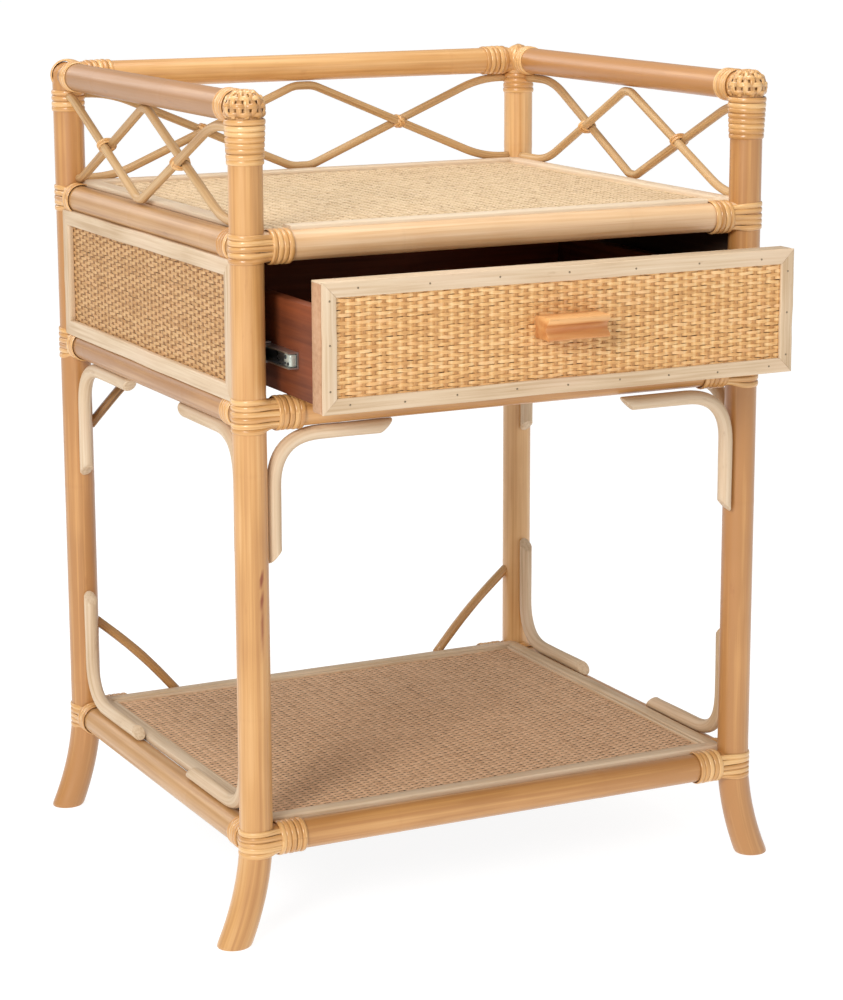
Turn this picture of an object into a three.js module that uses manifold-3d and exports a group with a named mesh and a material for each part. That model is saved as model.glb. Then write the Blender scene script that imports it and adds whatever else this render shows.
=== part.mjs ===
// Rattan side table: round-pole frame, cane gallery, woven shelves and one drawer on three-member slides.
// Millimetres, +Z up, the drawer opens towards -Y. The origin is on the floor under the centre of the
// whole object as it stands, with the drawer partly open.
import * as THREE from "three";
import { mergeVertices } from "three/addons/utils/BufferGeometryUtils.js";
import Module from "manifold-3d";

const wasm = await Module();
wasm.setup();

// Driving dimensions. Plan sizes and rail heights are taken at the pole axes.
const FRAME_WIDTH = 472;
const FRAME_DEPTH = 414;
const POST_RADIUS = 14;
const RAIL_RADIUS = 12.5;
const LOWER_RAIL_Z = 89;
const MIDDLE_RAIL_Z = 452.5;
const UPPER_RAIL_Z = 588.5;
const GALLERY_RAIL_Z = 700;
const FOOT_SPLAY = 22;
const FOOT_BEND_Z = 100;
const FIT_GAP = 0.4;

const SHELF_THICKNESS = 8;
const MAT_EDGE_DROP = 0.6;
const TRIM_WIDTH = 16;
const TRIM_THICKNESS = 3;
const TOP_TRIM_INSET = 5.5;
const TOP_TRIM_FRONT_INSET = -1;
const BOTTOM_TRIM_INSET = 7;

const PANEL_THICKNESS = 5;
const PANEL_OUTSET = 5.5;
const PANEL_TRIM_WIDTH = 13;
const PANEL_TRIM_THICKNESS = 6;

const LATTICE_CANE_RADIUS = 4.3;
const LATTICE_END_BEND = 22;
const BRACKET_CANE_RADIUS = 6.2;
const BRACKET_BEND_RADIUS = 42;
const BRACKET_RAIL_REACH = 142;
const BRACKET_CROSS_REACH = 123;
const BRACKET_CROSS_RIGHT_FORWARD = 9;
const BRACKET_POST_REACH = 120;
const BRACE_CANE_RADIUS = 4.5;
const LOWER_BRACE_REACH = 104;
const UPPER_BRACE_REACH = 93;

const DRAWER_OPENING = 100;
const DRAWER_FRONT_WIDTH = 436;
const DRAWER_FRONT_HEIGHT = 104.5;
const DRAWER_FRONT_BOTTOM_Z = 468;
const DRAWER_FRONT_THICKNESS = 17;
const DRAWER_TRIM_WIDTH = 12.5;
const DRAWER_TRIM_THICKNESS = 3;
const DRAWER_FACE_RECESS = 5;
const DRAWER_BOX_WIDTH = 412;
const DRAWER_BOX_DEPTH = 350;
const DRAWER_BOX_HEIGHT = 78;
const DRAWER_WALL = 12;
const DRAWER_BOTTOM_THICKNESS = 5;
const DRAWER_BOTTOM_RISE = 5;
const HANDLE_WIDTH = 62;
const HANDLE_HEIGHT = 20.5;
const HANDLE_DEPTH = 20;
const HANDLE_RISE = 3;

const SLIDE_LENGTH = 300;
const SLIDE_SETBACK = 72;
const SLIDE_Z = 500;
const SLIDE_SPACE = 13;
const SLIDE_SHEET = 1.2;
const SLIDE_RUNNING_GAP = 0.7;
const SLIDE_CASE_HEIGHT = 21;
const SLIDE_MIDDLE_HEIGHT = 17.4;
const SLIDE_DRAWER_HEIGHT = 13.6;
const RUNNER_HEIGHT = 32;

// Facets of the round stock.
const POST_SIDES = 16;
const RAIL_SIDES = 12;
const CANE_SIDES = 8;
const FOOT_STEPS = 6;
const LATTICE_STEPS = 22;
const BRACKET_STEPS = 11;

const postX = FRAME_WIDTH / 2;
const postY = FRAME_DEPTH / 2;
const postTop = GALLERY_RAIL_Z + RAIL_RADIUS;
const shelfEdge = RAIL_RADIUS + FIT_GAP;

const closedFaceY = -postY - DRAWER_FACE_RECESS;
const openFaceY = closedFaceY - DRAWER_OPENING;
const boardFrontY = openFaceY + DRAWER_TRIM_THICKNESS + FIT_GAP;
const boardBackY = boardFrontY + DRAWER_FRONT_THICKNESS;
const boxFrontY = boardBackY + FIT_GAP;
const boxBackY = boxFrontY + DRAWER_BOX_DEPTH;
const frontEndY = openFaceY - FIT_GAP - HANDLE_DEPTH;
const originShift = -(frontEndY + postY + POST_RADIUS) / 2;

const finish = (color, roughness, metalness = 0) => ({ color, roughness, metalness });
const POLE = finish(0xdfab75, 0.45);
const CORE_CANE = finish(0xe3cfa9, 0.6);
const LATTICE_CANE = finish(0xcfa077, 0.5);
const BRACE_CANE = finish(0xb98a50, 0.5);
const TOP_MAT = finish(0xe6cda0, 0.75);
const BOTTOM_MAT = finish(0xb8916e, 0.75);
const PANEL_WEAVE = finish(0xcfa66f, 0.7);
const DRAWER_WEAVE = finish(0xe1b46e, 0.65);
const BOX_WOOD = finish(0x8c4628, 0.5);
const HANDLE_WOOD = finish(0xdc9664, 0.45);
const BATTEN_WOOD = finish(0xc9a77c, 0.7);
const SLIDE_STEEL = finish(0x8f9496, 0.35, 0.9);

const table = new THREE.Group();
table.position.y = originShift;

function add(name, geometry, look) {
  const mesh = new THREE.Mesh(geometry, new THREE.MeshStandardMaterial(look));
  mesh.name = name;
  table.add(mesh);
}

function toSolid(geometry) {
  const bare = geometry.clone();
  bare.deleteAttribute("normal");
  bare.deleteAttribute("uv");
  const merged = mergeVertices(bare, 1e-3);
  const vertProperties = new Float32Array(merged.attributes.position.array);
  const triVerts = new Uint32Array(merged.index.array);
  return new wasm.Manifold(new wasm.Mesh({ numProp: 3, vertProperties, triVerts }));
}

function toGeometry(solid) {
  const mesh = solid.getMesh();
  const geometry = new THREE.BufferGeometry();
  geometry.setAttribute("position", new THREE.BufferAttribute(mesh.vertProperties, 3));
  geometry.setIndex(new THREE.BufferAttribute(mesh.triVerts, 1));
  geometry.computeVertexNormals();
  return geometry;
}

function cutAway(geometry, tools) {
  return toGeometry(tools.reduce((solid, tool) => solid.subtract(tool), toSolid(geometry)));
}

function boxBetween(low, high) {
  const size = high.map((value, i) => value - low[i]);
  const centre = high.map((value, i) => (value + low[i]) / 2);
  return new THREE.BoxGeometry(...size).translate(...centre);
}

// A flat ring between two rectangles, drawn in the XY plane and raised along +Z.
function frameRing(low, high, stripWidth, thickness) {
  const outline = new THREE.Shape();
  outline.moveTo(low[0], low[1]);
  outline.lineTo(high[0], low[1]);
  outline.lineTo(high[0], high[1]);
  outline.lineTo(low[0], high[1]);
  outline.closePath();
  const hole = new THREE.Path();
  hole.moveTo(low[0] + stripWidth, low[1] + stripWidth);
  hole.lineTo(low[0] + stripWidth, high[1] - stripWidth);
  hole.lineTo(high[0] - stripWidth, high[1] - stripWidth);
  hole.lineTo(high[0] - stripWidth, low[1] + stripWidth);
  hole.closePath();
  outline.holes.push(hole);
  return new THREE.ExtrudeGeometry(outline, { depth: thickness, bevelEnabled: false });
}

function roundSection(radius, sides) {
  const corners = [];
  for (let i = 0; i < sides; i += 1) {
    const angle = (2 * Math.PI * (i + 0.5)) / sides;
    corners.push(new THREE.Vector2(radius * Math.cos(angle), radius * Math.sin(angle)));
  }
  return new THREE.Shape(corners);
}

function caneAlong(curve, radius, steps) {
  return new THREE.ExtrudeGeometry(roundSection(radius, CANE_SIDES), { steps, extrudePath: curve });
}

// Straight round stock from one point to another.
function poleBetween(start, end, radius, sides) {
  const along = new THREE.Vector3().subVectors(end, start);
  const turn = new THREE.Quaternion().setFromUnitVectors(
    new THREE.Vector3(0, 1, 0),
    along.clone().normalize(),
  );
  const middle = start.clone().add(end).multiplyScalar(0.5);
  return new THREE.CylinderGeometry(radius, radius, along.length(), sides)
    .applyQuaternion(turn)
    .translate(middle.x, middle.y, middle.z);
}

// A post is straight down to the bend, then sweeps sideways to its foot, with level sections and a flat base.
function postGeometry(side, radius, top) {
  const geometry = new THREE.CylinderGeometry(radius, radius, 1, POST_SIDES, FOOT_STEPS + 1);
  geometry.rotateX(Math.PI / 2);
  const position = geometry.attributes.position;
  for (let i = 0; i < position.count; i += 1) {
    const ring = Math.round((position.getZ(i) + 0.5) * (FOOT_STEPS + 1));
    const z = ring > FOOT_STEPS ? top : (FOOT_BEND_Z * ring) / FOOT_STEPS;
    const below = Math.max(0, 1 - z / FOOT_BEND_Z);
    const slope = (2 * FOOT_SPLAY * below) / FOOT_BEND_Z;
    const sweep = side * FOOT_SPLAY * below * below;
    position.setXYZ(i, position.getX(i) * Math.hypot(1, slope) + sweep, position.getY(i), z);
  }
  return geometry;
}

// Cutting tools a little larger than the poles that rails, canes and trims are fitted to.
const postTools = [];
const sides = [
  { name: "left", x: -1 },
  { name: "right", x: 1 },
];
const ends = [
  { name: "front", y: -1 },
  { name: "back", y: 1 },
];
for (const end of ends) {
  for (const side of sides) {
    const place = (geometry) => geometry.translate(side.x * postX, end.y * postY, 0);
    add(`post_${end.name}_${side.name}`, place(postGeometry(side.x, POST_RADIUS, postTop)), POLE);
    const tool = postGeometry(side.x, POST_RADIUS + FIT_GAP, postTop + POST_RADIUS);
    postTools.push(toSolid(place(tool)));
  }
}

// A pole between two posts at one height, running along X (`alongX`) or along Y.
function levelPole(alongX, side, z, radius) {
  const start = new THREE.Vector3(alongX ? -postX : side * postX, alongX ? side * postY : -postY, z);
  const stop = new THREE.Vector3(alongX ? postX : side * postX, alongX ? side * postY : postY, z);
  return poleBetween(start, stop, radius, RAIL_SIDES);
}

// One level of rails: side rails run front to back, and cross rails are fitted between them as well.
function addRails(level, z, crossEnds) {
  const sideTools = [];
  for (const side of sides) {
    const rail = levelPole(false, side.x, z, RAIL_RADIUS);
    add(`${level}_rail_${side.name}`, cutAway(rail, postTools), POLE);
    sideTools.push(toSolid(levelPole(false, side.x, z, RAIL_RADIUS + FIT_GAP)));
  }
  for (const end of crossEnds) {
    const rail = levelPole(true, end.y, z, RAIL_RADIUS);
    add(`${level}_rail_${end.name}`, cutAway(rail, [...postTools, ...sideTools]), POLE);
  }
}
addRails("gallery", GALLERY_RAIL_Z, [ends[1]]);
addRails("upper", UPPER_RAIL_Z, ends);
addRails("middle", MIDDLE_RAIL_Z, ends);
addRails("lower", LOWER_RAIL_Z, ends);

// A shelf is a woven mat on a board between the rails, with flat trim laid over its edge and the rails.
// The mat is pressed a little thinner under the trim, so its open face ends at the trim's inner edge.
function addShelf(name, railZ, inset, frontInset, look) {
  const top = railZ + RAIL_RADIUS;
  const bottom = top - SHELF_THICKNESS;
  const edge = [postX - shelfEdge, postY - shelfEdge];
  const trimLow = [-postX + inset, -postY + frontInset];
  const trimHigh = [postX - inset, postY - inset];
  const matInset = TRIM_WIDTH + FIT_GAP;
  const board = boxBetween([-edge[0], -edge[1], bottom], [edge[0], edge[1], top - MAT_EDGE_DROP]);
  const mat = boxBetween(
    [trimLow[0] + matInset, trimLow[1] + matInset, bottom],
    [trimHigh[0] - matInset, trimHigh[1] - matInset, top],
  );
  add(`${name}_panel`, toGeometry(toSolid(board).add(toSolid(mat))), look);
  const ring = frameRing(trimLow, trimHigh, TRIM_WIDTH, TRIM_THICKNESS);
  ring.translate(0, 0, top + FIT_GAP);
  add(`${name}_trim`, cutAway(ring, postTools), CORE_CANE);
}
addShelf("top_shelf", UPPER_RAIL_Z, TOP_TRIM_INSET, TOP_TRIM_FRONT_INSET, TOP_MAT);
addShelf("bottom_shelf", LOWER_RAIL_Z, BOTTOM_TRIM_INSET, BOTTOM_TRIM_INSET, BOTTOM_MAT);

// Woven side panels with their trim frames, and the battens inside that carry the drawer slides.
const panelLowZ = MIDDLE_RAIL_Z + RAIL_RADIUS + FIT_GAP;
const panelHighZ = UPPER_RAIL_Z - RAIL_RADIUS - FIT_GAP;
const panelHalfDepth = postY - POST_RADIUS - FIT_GAP;
const panelHalfWidth = postX - POST_RADIUS - FIT_GAP;
const trimEndY = postY - POST_RADIUS / 2;
const boxHalfWidth = DRAWER_BOX_WIDTH / 2;
const runnerFaceX = boxHalfWidth + SLIDE_SPACE + FIT_GAP;

function mirrored(side, low, high) {
  const xs = [side.x * low[0], side.x * high[0]].sort((a, b) => a - b);
  return boxBetween([xs[0], low[1], low[2]], [xs[1], high[1], high[2]]);
}

for (const side of sides) {
  const outer = postX + PANEL_OUTSET;
  const inner = outer - PANEL_THICKNESS;
  add(
    `side_panel_${side.name}`,
    mirrored(side, [inner, -panelHalfDepth, panelLowZ], [outer, panelHalfDepth, panelHighZ]),
    PANEL_WEAVE,
  );
  const ring = frameRing(
    [-trimEndY, panelLowZ],
    [trimEndY, panelHighZ],
    PANEL_TRIM_WIDTH,
    PANEL_TRIM_THICKNESS,
  );
  ring.rotateX(Math.PI / 2);
  ring.rotateZ(Math.PI / 2);
  ring.translate(side.x > 0 ? outer + FIT_GAP : -outer - FIT_GAP - PANEL_TRIM_THICKNESS, 0, 0);
  add(`side_trim_${side.name}`, cutAway(ring, postTools), CORE_CANE);
  add(
    `slide_runner_${side.name}`,
    mirrored(
      side,
      [runnerFaceX, -panelHalfDepth + FIT_GAP, SLIDE_Z - RUNNER_HEIGHT / 2],
      [inner - FIT_GAP, panelHalfDepth - FIT_GAP, SLIDE_Z + RUNNER_HEIGHT / 2],
    ),
    BATTEN_WOOD,
  );
}

// The back panel is one board whose border stands proud of the weave.
const backWeave = boxBetween(
  [-panelHalfWidth, postY - PANEL_THICKNESS, panelLowZ],
  [panelHalfWidth, postY, panelHighZ],
);
const backBorder = frameRing(
  [-panelHalfWidth, panelLowZ],
  [panelHalfWidth, panelHighZ],
  PANEL_TRIM_WIDTH,
  PANEL_THICKNESS + PANEL_TRIM_THICKNESS,
);
backBorder.rotateX(Math.PI / 2);
backBorder.translate(0, postY + PANEL_TRIM_THICKNESS, 0);
add("back_panel", toGeometry(toSolid(backWeave).add(toSolid(backBorder))), PANEL_WEAVE);

// Each lattice is bent by hand: `runs` are its level lengths at either post, measured from the post's
// axis, `centre` is where its middle sits and `flat` is half the level length there.
const latticeShapes = {
  left: { runs: [57, 18], centre: 20, flat: 6 },
  right: { runs: [29, 64], centre: -11, flat: 6 },
  back: { runs: [41, 41], centre: 0, flat: 10 },
};

// One lattice cane: level at one height by the posts, down or up to the other height at the centre.
function latticeCane(length, endZ, centreZ, { runs, centre, flat }) {
  const half = length / 2;
  const endBend = (run) => Math.min(LATTICE_END_BEND, 0.75 * run);
  const corners = [
    { at: new THREE.Vector3(-half, 0, endZ), bend: 0 },
    { at: new THREE.Vector3(-half + runs[0], 0, endZ), bend: endBend(runs[0]) },
    { at: new THREE.Vector3(centre - flat, 0, centreZ), bend: 0.6 * flat },
    { at: new THREE.Vector3(centre + flat, 0, centreZ), bend: 0.6 * flat },
    { at: new THREE.Vector3(half - runs[1], 0, endZ), bend: endBend(runs[1]) },
    { at: new THREE.Vector3(half, 0, endZ), bend: 0 },
  ];
  return caneAlong(roundedPath(corners), LATTICE_CANE_RADIUS, LATTICE_STEPS);
}

// Straight runs joined by a curve at each corner that starts and ends `bend` away from it.
function roundedPath(corners) {
  const path = new THREE.CurvePath();
  let from = corners[0].at;
  for (let i = 1; i < corners.length - 1; i += 1) {
    const { at, bend } = corners[i];
    const before = at.clone().add(corners[i - 1].at.clone().sub(at).setLength(bend));
    const after = at.clone().add(corners[i + 1].at.clone().sub(at).setLength(bend));
    path.add(new THREE.LineCurve3(from, before));
    path.add(new THREE.QuadraticBezierCurve3(before, at, after));
    from = after;
  }
  path.add(new THREE.LineCurve3(from, corners[corners.length - 1].at));
  return path;
}

const latticeHighZ = GALLERY_RAIL_Z - RAIL_RADIUS - LATTICE_CANE_RADIUS - FIT_GAP;
const latticeLowZ = UPPER_RAIL_Z + RAIL_RADIUS + LATTICE_CANE_RADIUS + FIT_GAP;

function addLattice(name, length, turn, x, y) {
  const shape = latticeShapes[name];
  const pair = [
    latticeCane(length, latticeHighZ, latticeLowZ, shape),
    latticeCane(length, latticeLowZ, latticeHighZ, shape),
  ];
  const solids = pair.map((cane) => toSolid(cane.rotateZ(turn).translate(x, y, 0)));
  const joined = solids[0].add(solids[1]);
  const fitted = postTools.reduce((solid, tool) => solid.subtract(tool), joined);
  add(`gallery_lattice_${name}`, toGeometry(fitted), LATTICE_CANE);
}
addLattice("left", FRAME_DEPTH, Math.PI / 2, -postX, 0);
addLattice("right", FRAME_DEPTH, Math.PI / 2, postX, 0);
addLattice("back", FRAME_WIDTH, 0, 0, postY);

// Bent brackets lie against a post and a rail. The local corner is where the two pole axes cross,
// +X runs along the rail and +Z runs along the post, away from that corner.
function bracketGeometry(railReach) {
  const offRail = RAIL_RADIUS + FIT_GAP + BRACKET_CANE_RADIUS;
  const offPost = POST_RADIUS + FIT_GAP + BRACKET_CANE_RADIUS;
  const corner = new THREE.Vector3(offPost, 0, offRail);
  const railEnd = new THREE.Vector3(railReach, 0, offRail);
  const postEnd = new THREE.Vector3(offPost, 0, BRACKET_POST_REACH);
  const path = roundedPath([
    { at: railEnd, bend: 0 },
    { at: corner, bend: BRACKET_BEND_RADIUS },
    { at: postEnd, bend: 0 },
  ]);
  return caneAlong(path, BRACKET_CANE_RADIUS, BRACKET_STEPS);
}

// Upper brackets hang under the middle rails, lower brackets stand on the lower side rails. The two
// that cross the front are shorter along their rail, and the right one hugs the front of its post.
function addBracket(name, x, y, railTurn, railZ, up, railReach = BRACKET_RAIL_REACH, forward = 0) {
  const geometry = bracketGeometry(railReach);
  if (!up) geometry.rotateX(Math.PI);
  geometry.rotateZ(railTurn);
  add(name, geometry.translate(x * postX, y * postY - forward, railZ), CORE_CANE);
}
for (const side of sides) {
  addBracket(
    `upper_bracket_cross_front_${side.name}`,
    side.x,
    -1,
    side.x < 0 ? 0 : Math.PI,
    MIDDLE_RAIL_Z,
    false,
    BRACKET_CROSS_REACH,
    side.x < 0 ? 0 : BRACKET_CROSS_RIGHT_FORWARD,
  );
  for (const end of ends) {
    const alongSide = (-end.y * Math.PI) / 2;
    addBracket(`upper_bracket_${end.name}_${side.name}`, side.x, end.y, alongSide, MIDDLE_RAIL_Z, false);
    addBracket(`lower_bracket_${end.name}_${side.name}`, side.x, end.y, alongSide, LOWER_RAIL_Z, true);
  }
}

// Thin straight braces cross the four corners of the open back.
function addBrace(name, side, railZ, reach) {
  const onRail = new THREE.Vector3(side * (postX - Math.abs(reach)), postY, railZ);
  const onPost = new THREE.Vector3(side * postX, postY, railZ + reach);
  const cane = poleBetween(onRail, onPost, BRACE_CANE_RADIUS, CANE_SIDES);
  const railTool = toSolid(levelPole(true, 1, railZ, RAIL_RADIUS + FIT_GAP));
  add(name, cutAway(cane, [...postTools, railTool]), BRACE_CANE);
}
for (const side of sides) {
  addBrace(`back_brace_upper_${side.name}`, side.x, MIDDLE_RAIL_Z, -UPPER_BRACE_REACH);
  addBrace(`back_brace_lower_${side.name}`, side.x, LOWER_RAIL_Z, LOWER_BRACE_REACH);
}

// The drawer, drawn where it stands partly open.
const frontLowZ = DRAWER_FRONT_BOTTOM_Z;
const frontHighZ = frontLowZ + DRAWER_FRONT_HEIGHT;
const frontHalf = DRAWER_FRONT_WIDTH / 2;
const boxLowZ = frontLowZ + FIT_GAP;
const boxHighZ = boxLowZ + DRAWER_BOX_HEIGHT;
add(
  "drawer_front",
  boxBetween([-frontHalf, boardFrontY, frontLowZ], [frontHalf, boardBackY, frontHighZ]),
  DRAWER_WEAVE,
);
const drawerRing = frameRing(
  [-frontHalf, frontLowZ],
  [frontHalf, frontHighZ],
  DRAWER_TRIM_WIDTH,
  DRAWER_TRIM_THICKNESS,
);
drawerRing.rotateX(Math.PI / 2);
drawerRing.translate(0, openFaceY + DRAWER_TRIM_THICKNESS, 0);
add("drawer_front_trim", drawerRing, CORE_CANE);

const handleZ = (frontLowZ + frontHighZ) / 2 + HANDLE_RISE;
add(
  "drawer_handle",
  boxBetween(
    [-HANDLE_WIDTH / 2, frontEndY, handleZ - HANDLE_HEIGHT / 2],
    [HANDLE_WIDTH / 2, boardFrontY - FIT_GAP, handleZ + HANDLE_HEIGHT / 2],
  ),
  HANDLE_WOOD,
);

const wallInner = boxHalfWidth - DRAWER_WALL;
for (const side of sides) {
  add(
    `drawer_side_${side.name}`,
    mirrored(side, [wallInner, boxFrontY, boxLowZ], [boxHalfWidth, boxBackY, boxHighZ]),
    BOX_WOOD,
  );
}
const insideX = wallInner - FIT_GAP;
add(
  "drawer_back",
  boxBetween([-insideX, boxBackY - DRAWER_WALL, boxLowZ], [insideX, boxBackY, boxHighZ]),
  BOX_WOOD,
);
const bottomLowZ = boxLowZ + DRAWER_BOTTOM_RISE;
add(
  "drawer_bottom",
  boxBetween(
    [-insideX, boxFrontY, bottomLowZ],
    [insideX, boxBackY - DRAWER_WALL - FIT_GAP, bottomLowZ + DRAWER_BOTTOM_THICKNESS],
  ),
  BATTEN_WOOD,
);

// A slide member is a channel of bent sheet. `webX` is its outer wall and `lipX` the free edge of its
// flanges, both as distances from the centre plane of the table.
function slideMember(side, webX, lipX, height, frontY) {
  const outward = Math.sign(webX - lipX);
  const half = height / 2;
  const web = webX - outward * SLIDE_SHEET;
  const section = new THREE.Shape();
  section.moveTo(webX, -half);
  section.lineTo(lipX, -half);
  section.lineTo(lipX, -half + SLIDE_SHEET);
  section.lineTo(web, -half + SLIDE_SHEET);
  section.lineTo(web, half - SLIDE_SHEET);
  section.lineTo(lipX, half - SLIDE_SHEET);
  section.lineTo(lipX, half);
  section.lineTo(webX, half);
  section.closePath();
  const channel = new THREE.ExtrudeGeometry(section, { depth: SLIDE_LENGTH, bevelEnabled: false });
  channel.rotateX(Math.PI / 2);
  channel.translate(0, frontY + SLIDE_LENGTH, SLIDE_Z);
  if (side.x < 0) channel.rotateZ(Math.PI).translate(0, 2 * frontY + SLIDE_LENGTH, 0);
  return channel;
}

const caseFrontY = closedFaceY + SLIDE_SETBACK;
const slideFaceX = boxHalfWidth + SLIDE_SPACE;
const middleWebX = slideFaceX - SLIDE_SHEET - SLIDE_RUNNING_GAP;
const drawerWebX = boxHalfWidth + FIT_GAP;
const drawerLipX = middleWebX - SLIDE_SHEET - SLIDE_RUNNING_GAP;
const memberLipX = drawerWebX + SLIDE_SHEET + SLIDE_RUNNING_GAP;
for (const side of sides) {
  add(
    `slide_case_${side.name}`,
    slideMember(side, slideFaceX, memberLipX, SLIDE_CASE_HEIGHT, caseFrontY),
    SLIDE_STEEL,
  );
  add(
    `slide_middle_${side.name}`,
    slideMember(side, middleWebX, memberLipX, SLIDE_MIDDLE_HEIGHT, caseFrontY - DRAWER_OPENING / 2),
    SLIDE_STEEL,
  );
  add(
    `slide_drawer_${side.name}`,
    slideMember(side, drawerWebX, drawerLipX, SLIDE_DRAWER_HEIGHT, caseFrontY - DRAWER_OPENING),
    SLIDE_STEEL,
  );
}

export default table;
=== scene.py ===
"""Looks of the rattan side table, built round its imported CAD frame.

Metres, +Z up, the drawer opens towards -Y. Lengths that belong to the weaving and binding are
named here; every place comes from the boxes of the CAD nodes.
"""

import math

import bpy
import numpy as np
from mathutils import Matrix, Vector


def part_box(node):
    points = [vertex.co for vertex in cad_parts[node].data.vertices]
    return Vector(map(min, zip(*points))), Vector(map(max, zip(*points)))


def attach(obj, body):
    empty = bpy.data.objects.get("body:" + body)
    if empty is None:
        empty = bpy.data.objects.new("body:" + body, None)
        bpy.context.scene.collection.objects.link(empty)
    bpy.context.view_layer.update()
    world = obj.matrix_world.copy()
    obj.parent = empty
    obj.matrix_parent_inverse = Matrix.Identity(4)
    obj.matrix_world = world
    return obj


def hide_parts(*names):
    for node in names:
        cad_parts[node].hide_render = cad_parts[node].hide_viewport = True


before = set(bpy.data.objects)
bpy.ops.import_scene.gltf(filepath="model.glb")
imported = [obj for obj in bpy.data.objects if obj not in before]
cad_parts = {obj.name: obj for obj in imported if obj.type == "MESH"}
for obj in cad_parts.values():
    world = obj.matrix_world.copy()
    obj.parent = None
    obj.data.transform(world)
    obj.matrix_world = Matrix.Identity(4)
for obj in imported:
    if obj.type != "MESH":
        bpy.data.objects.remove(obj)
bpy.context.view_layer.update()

MM = 0.001
X = np.array((1.0, 0.0, 0.0))
Y = np.array((0.0, 1.0, 0.0))
Z = np.array((0.0, 0.0, 1.0))
SIDES = (("left", -1), ("right", 1))
ENDS = (("front", -1), ("back", 1))

# Camera: where it stands and how it is turned, at the photograph's viewing angle. Angles in radians,
# lens and sensor in millimetres.
CAMERA_AT = (-1.110, -2.2101, 0.8814)
CAMERA_YAW = 0.4638
CAMERA_PITCH = -0.2202
CAMERA_ROLL = -0.0031
CAMERA_LENS = 100.94
CAMERA_SENSOR = 36

# Frame poles.
FOOT_SPLAY = 22 * MM
FOOT_BEND_Z = 100 * MM
RAIL_STEP = 22 * MM
POST_STEP = 9 * MM
RAIL_NODE_SPACING = (150 * MM, 260 * MM)
POST_NODE_SPACING = (170 * MM, 270 * MM)
NODE_SWELL = 0.01
NODE_LINE = 0.002
NODE_MARK = 0.35

# The dark split in the front left post: its direction from the axis in radians, and its two ends.
CRACK_SIDE = -1.374
CRACK_LOW = 252 * MM
CRACK_HIGH = 334 * MM
CRACK_MARK = 16.0

# How pale each pole is: about 0 for the darkest of its kind and 1 for the palest. The tones are
# matched to how bright each pole looks in place, so they also hold painted light: painted shade
# on the front right post, and a painted highlight on the upper front rail. The left rails get a
# darker, greyer copy of the rattan, painted shade on that side of the frame.
POST_TONE = {"front_left": 0.45, "front_right": 0.05, "back_left": 0.1, "back_right": 0.85}
RAIL_TONE = {
    "gallery_left": -0.3, "upper_left": 0.5, "middle_left": 0.08, "lower_left": 0.6,
    "gallery_right": -0.05, "upper_right": 0.35, "middle_right": 0.35, "lower_right": 0.45,
    "gallery_back": 0.62, "upper_back": 0.45, "middle_back": 0.4, "lower_back": 0.5,
    "upper_front": 0.85, "middle_front": 0.3, "lower_front": 0.15,
}

# Canes.
LATTICE_END_BEND = 22 * MM
BRACKET_R = 6.2 * MM
BRACKET_BEND = 42 * MM
BRACKET_RAIL_REACH = 142 * MM
BRACKET_CROSS_REACH = 123 * MM
BRACKET_CROSS_RIGHT_FORWARD = 9 * MM
BRACKET_POST_REACH = 120 * MM
BRACE_R = 4.5 * MM
LOWER_BRACE_REACH = 104 * MM
UPPER_BRACE_REACH = 93 * MM
TOUCH = 0.4 * MM

# Binding peel.
PEEL_WIDTH = 4.65 * MM
PEEL_THICK = 1.25 * MM
PEEL_PITCH = 4.8 * MM

# Weaving. A stake's width is a share of its pitch.
STAKE_PITCH = 9.0 * MM
STRAND_PITCH = 2.93 * MM
STAKE_SHARE = 0.36

# The section of a strand in the shelf mats, for a strand one unit wide and one thick.
FINE_STRAND = ((-0.5, 0), (0, -0.5), (0.5, 0), (0.22, 0.5), (-0.22, 0.5))

# Flat trim strips: their widths, and the gap left in each mitre.
SIDE_TRIM = 14 * MM
BACK_TRIM = 13 * MM
TOP_TRIM = 16 * MM
BOTTOM_TRIM = 12 * MM
BOTTOM_INNER_TRIM = 3.4 * MM
DRAWER_TRIM = 12.5 * MM
DRAWER_CAPPING = 1.8 * MM
MITRE_GAP = 0.12 * MM

# Stage: brightness of the world and the floor, and each lamp's place, size and power.
WORLD_LIGHT = 0.42
FLOOR_LIGHT = 0.9
FLOOR_HALF = 30.0
LAMP_AIM = (0, 0, 0.4)
LAMPS = {
    "key": ((-2.3, -2.0, 1.7), 1.1, 58.0),
    "fill": ((1.2, -2.8, 1.0), 1.8, 5.0),
    "top": ((-0.2, 0.0, 2.2), 1.3, 21.0),
    "rear": ((-1.2, 2.6, 1.8), 1.6, 14.0),
}


def middle(node, axis):
    low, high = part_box(node)
    return (low[axis] + high[axis]) / 2


def half_size(node, axis):
    low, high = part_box(node)
    return (high[axis] - low[axis]) / 2


POST_X = {"left": middle("upper_rail_left", 0), "right": middle("upper_rail_right", 0)}
POST_Y = {"front": middle("upper_rail_front", 1), "back": middle("upper_rail_back", 1)}
LEVELS = {name: middle(f"{name}_rail_left", 2) for name in ("lower", "middle", "upper", "gallery")}
POST_R = half_size("post_front_left", 1)
RAIL_R = half_size("upper_rail_front", 1)
POST_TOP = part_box("post_front_left")[1][2]


def unit(vectors):
    vectors = np.asarray(vectors, float)
    return vectors / np.linalg.norm(vectors, axis=-1, keepdims=True)


def smoothstep(value):
    value = np.clip(value, 0.0, 1.0)
    return value * value * (3 - 2 * value)


# ---- sections and paths


def full_turn(steps):
    return np.arange(steps) * 2 * math.pi / steps


def circle(radius, sides):
    turn = full_turn(sides)
    return radius * np.stack([np.cos(turn), np.sin(turn)], 1)


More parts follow.
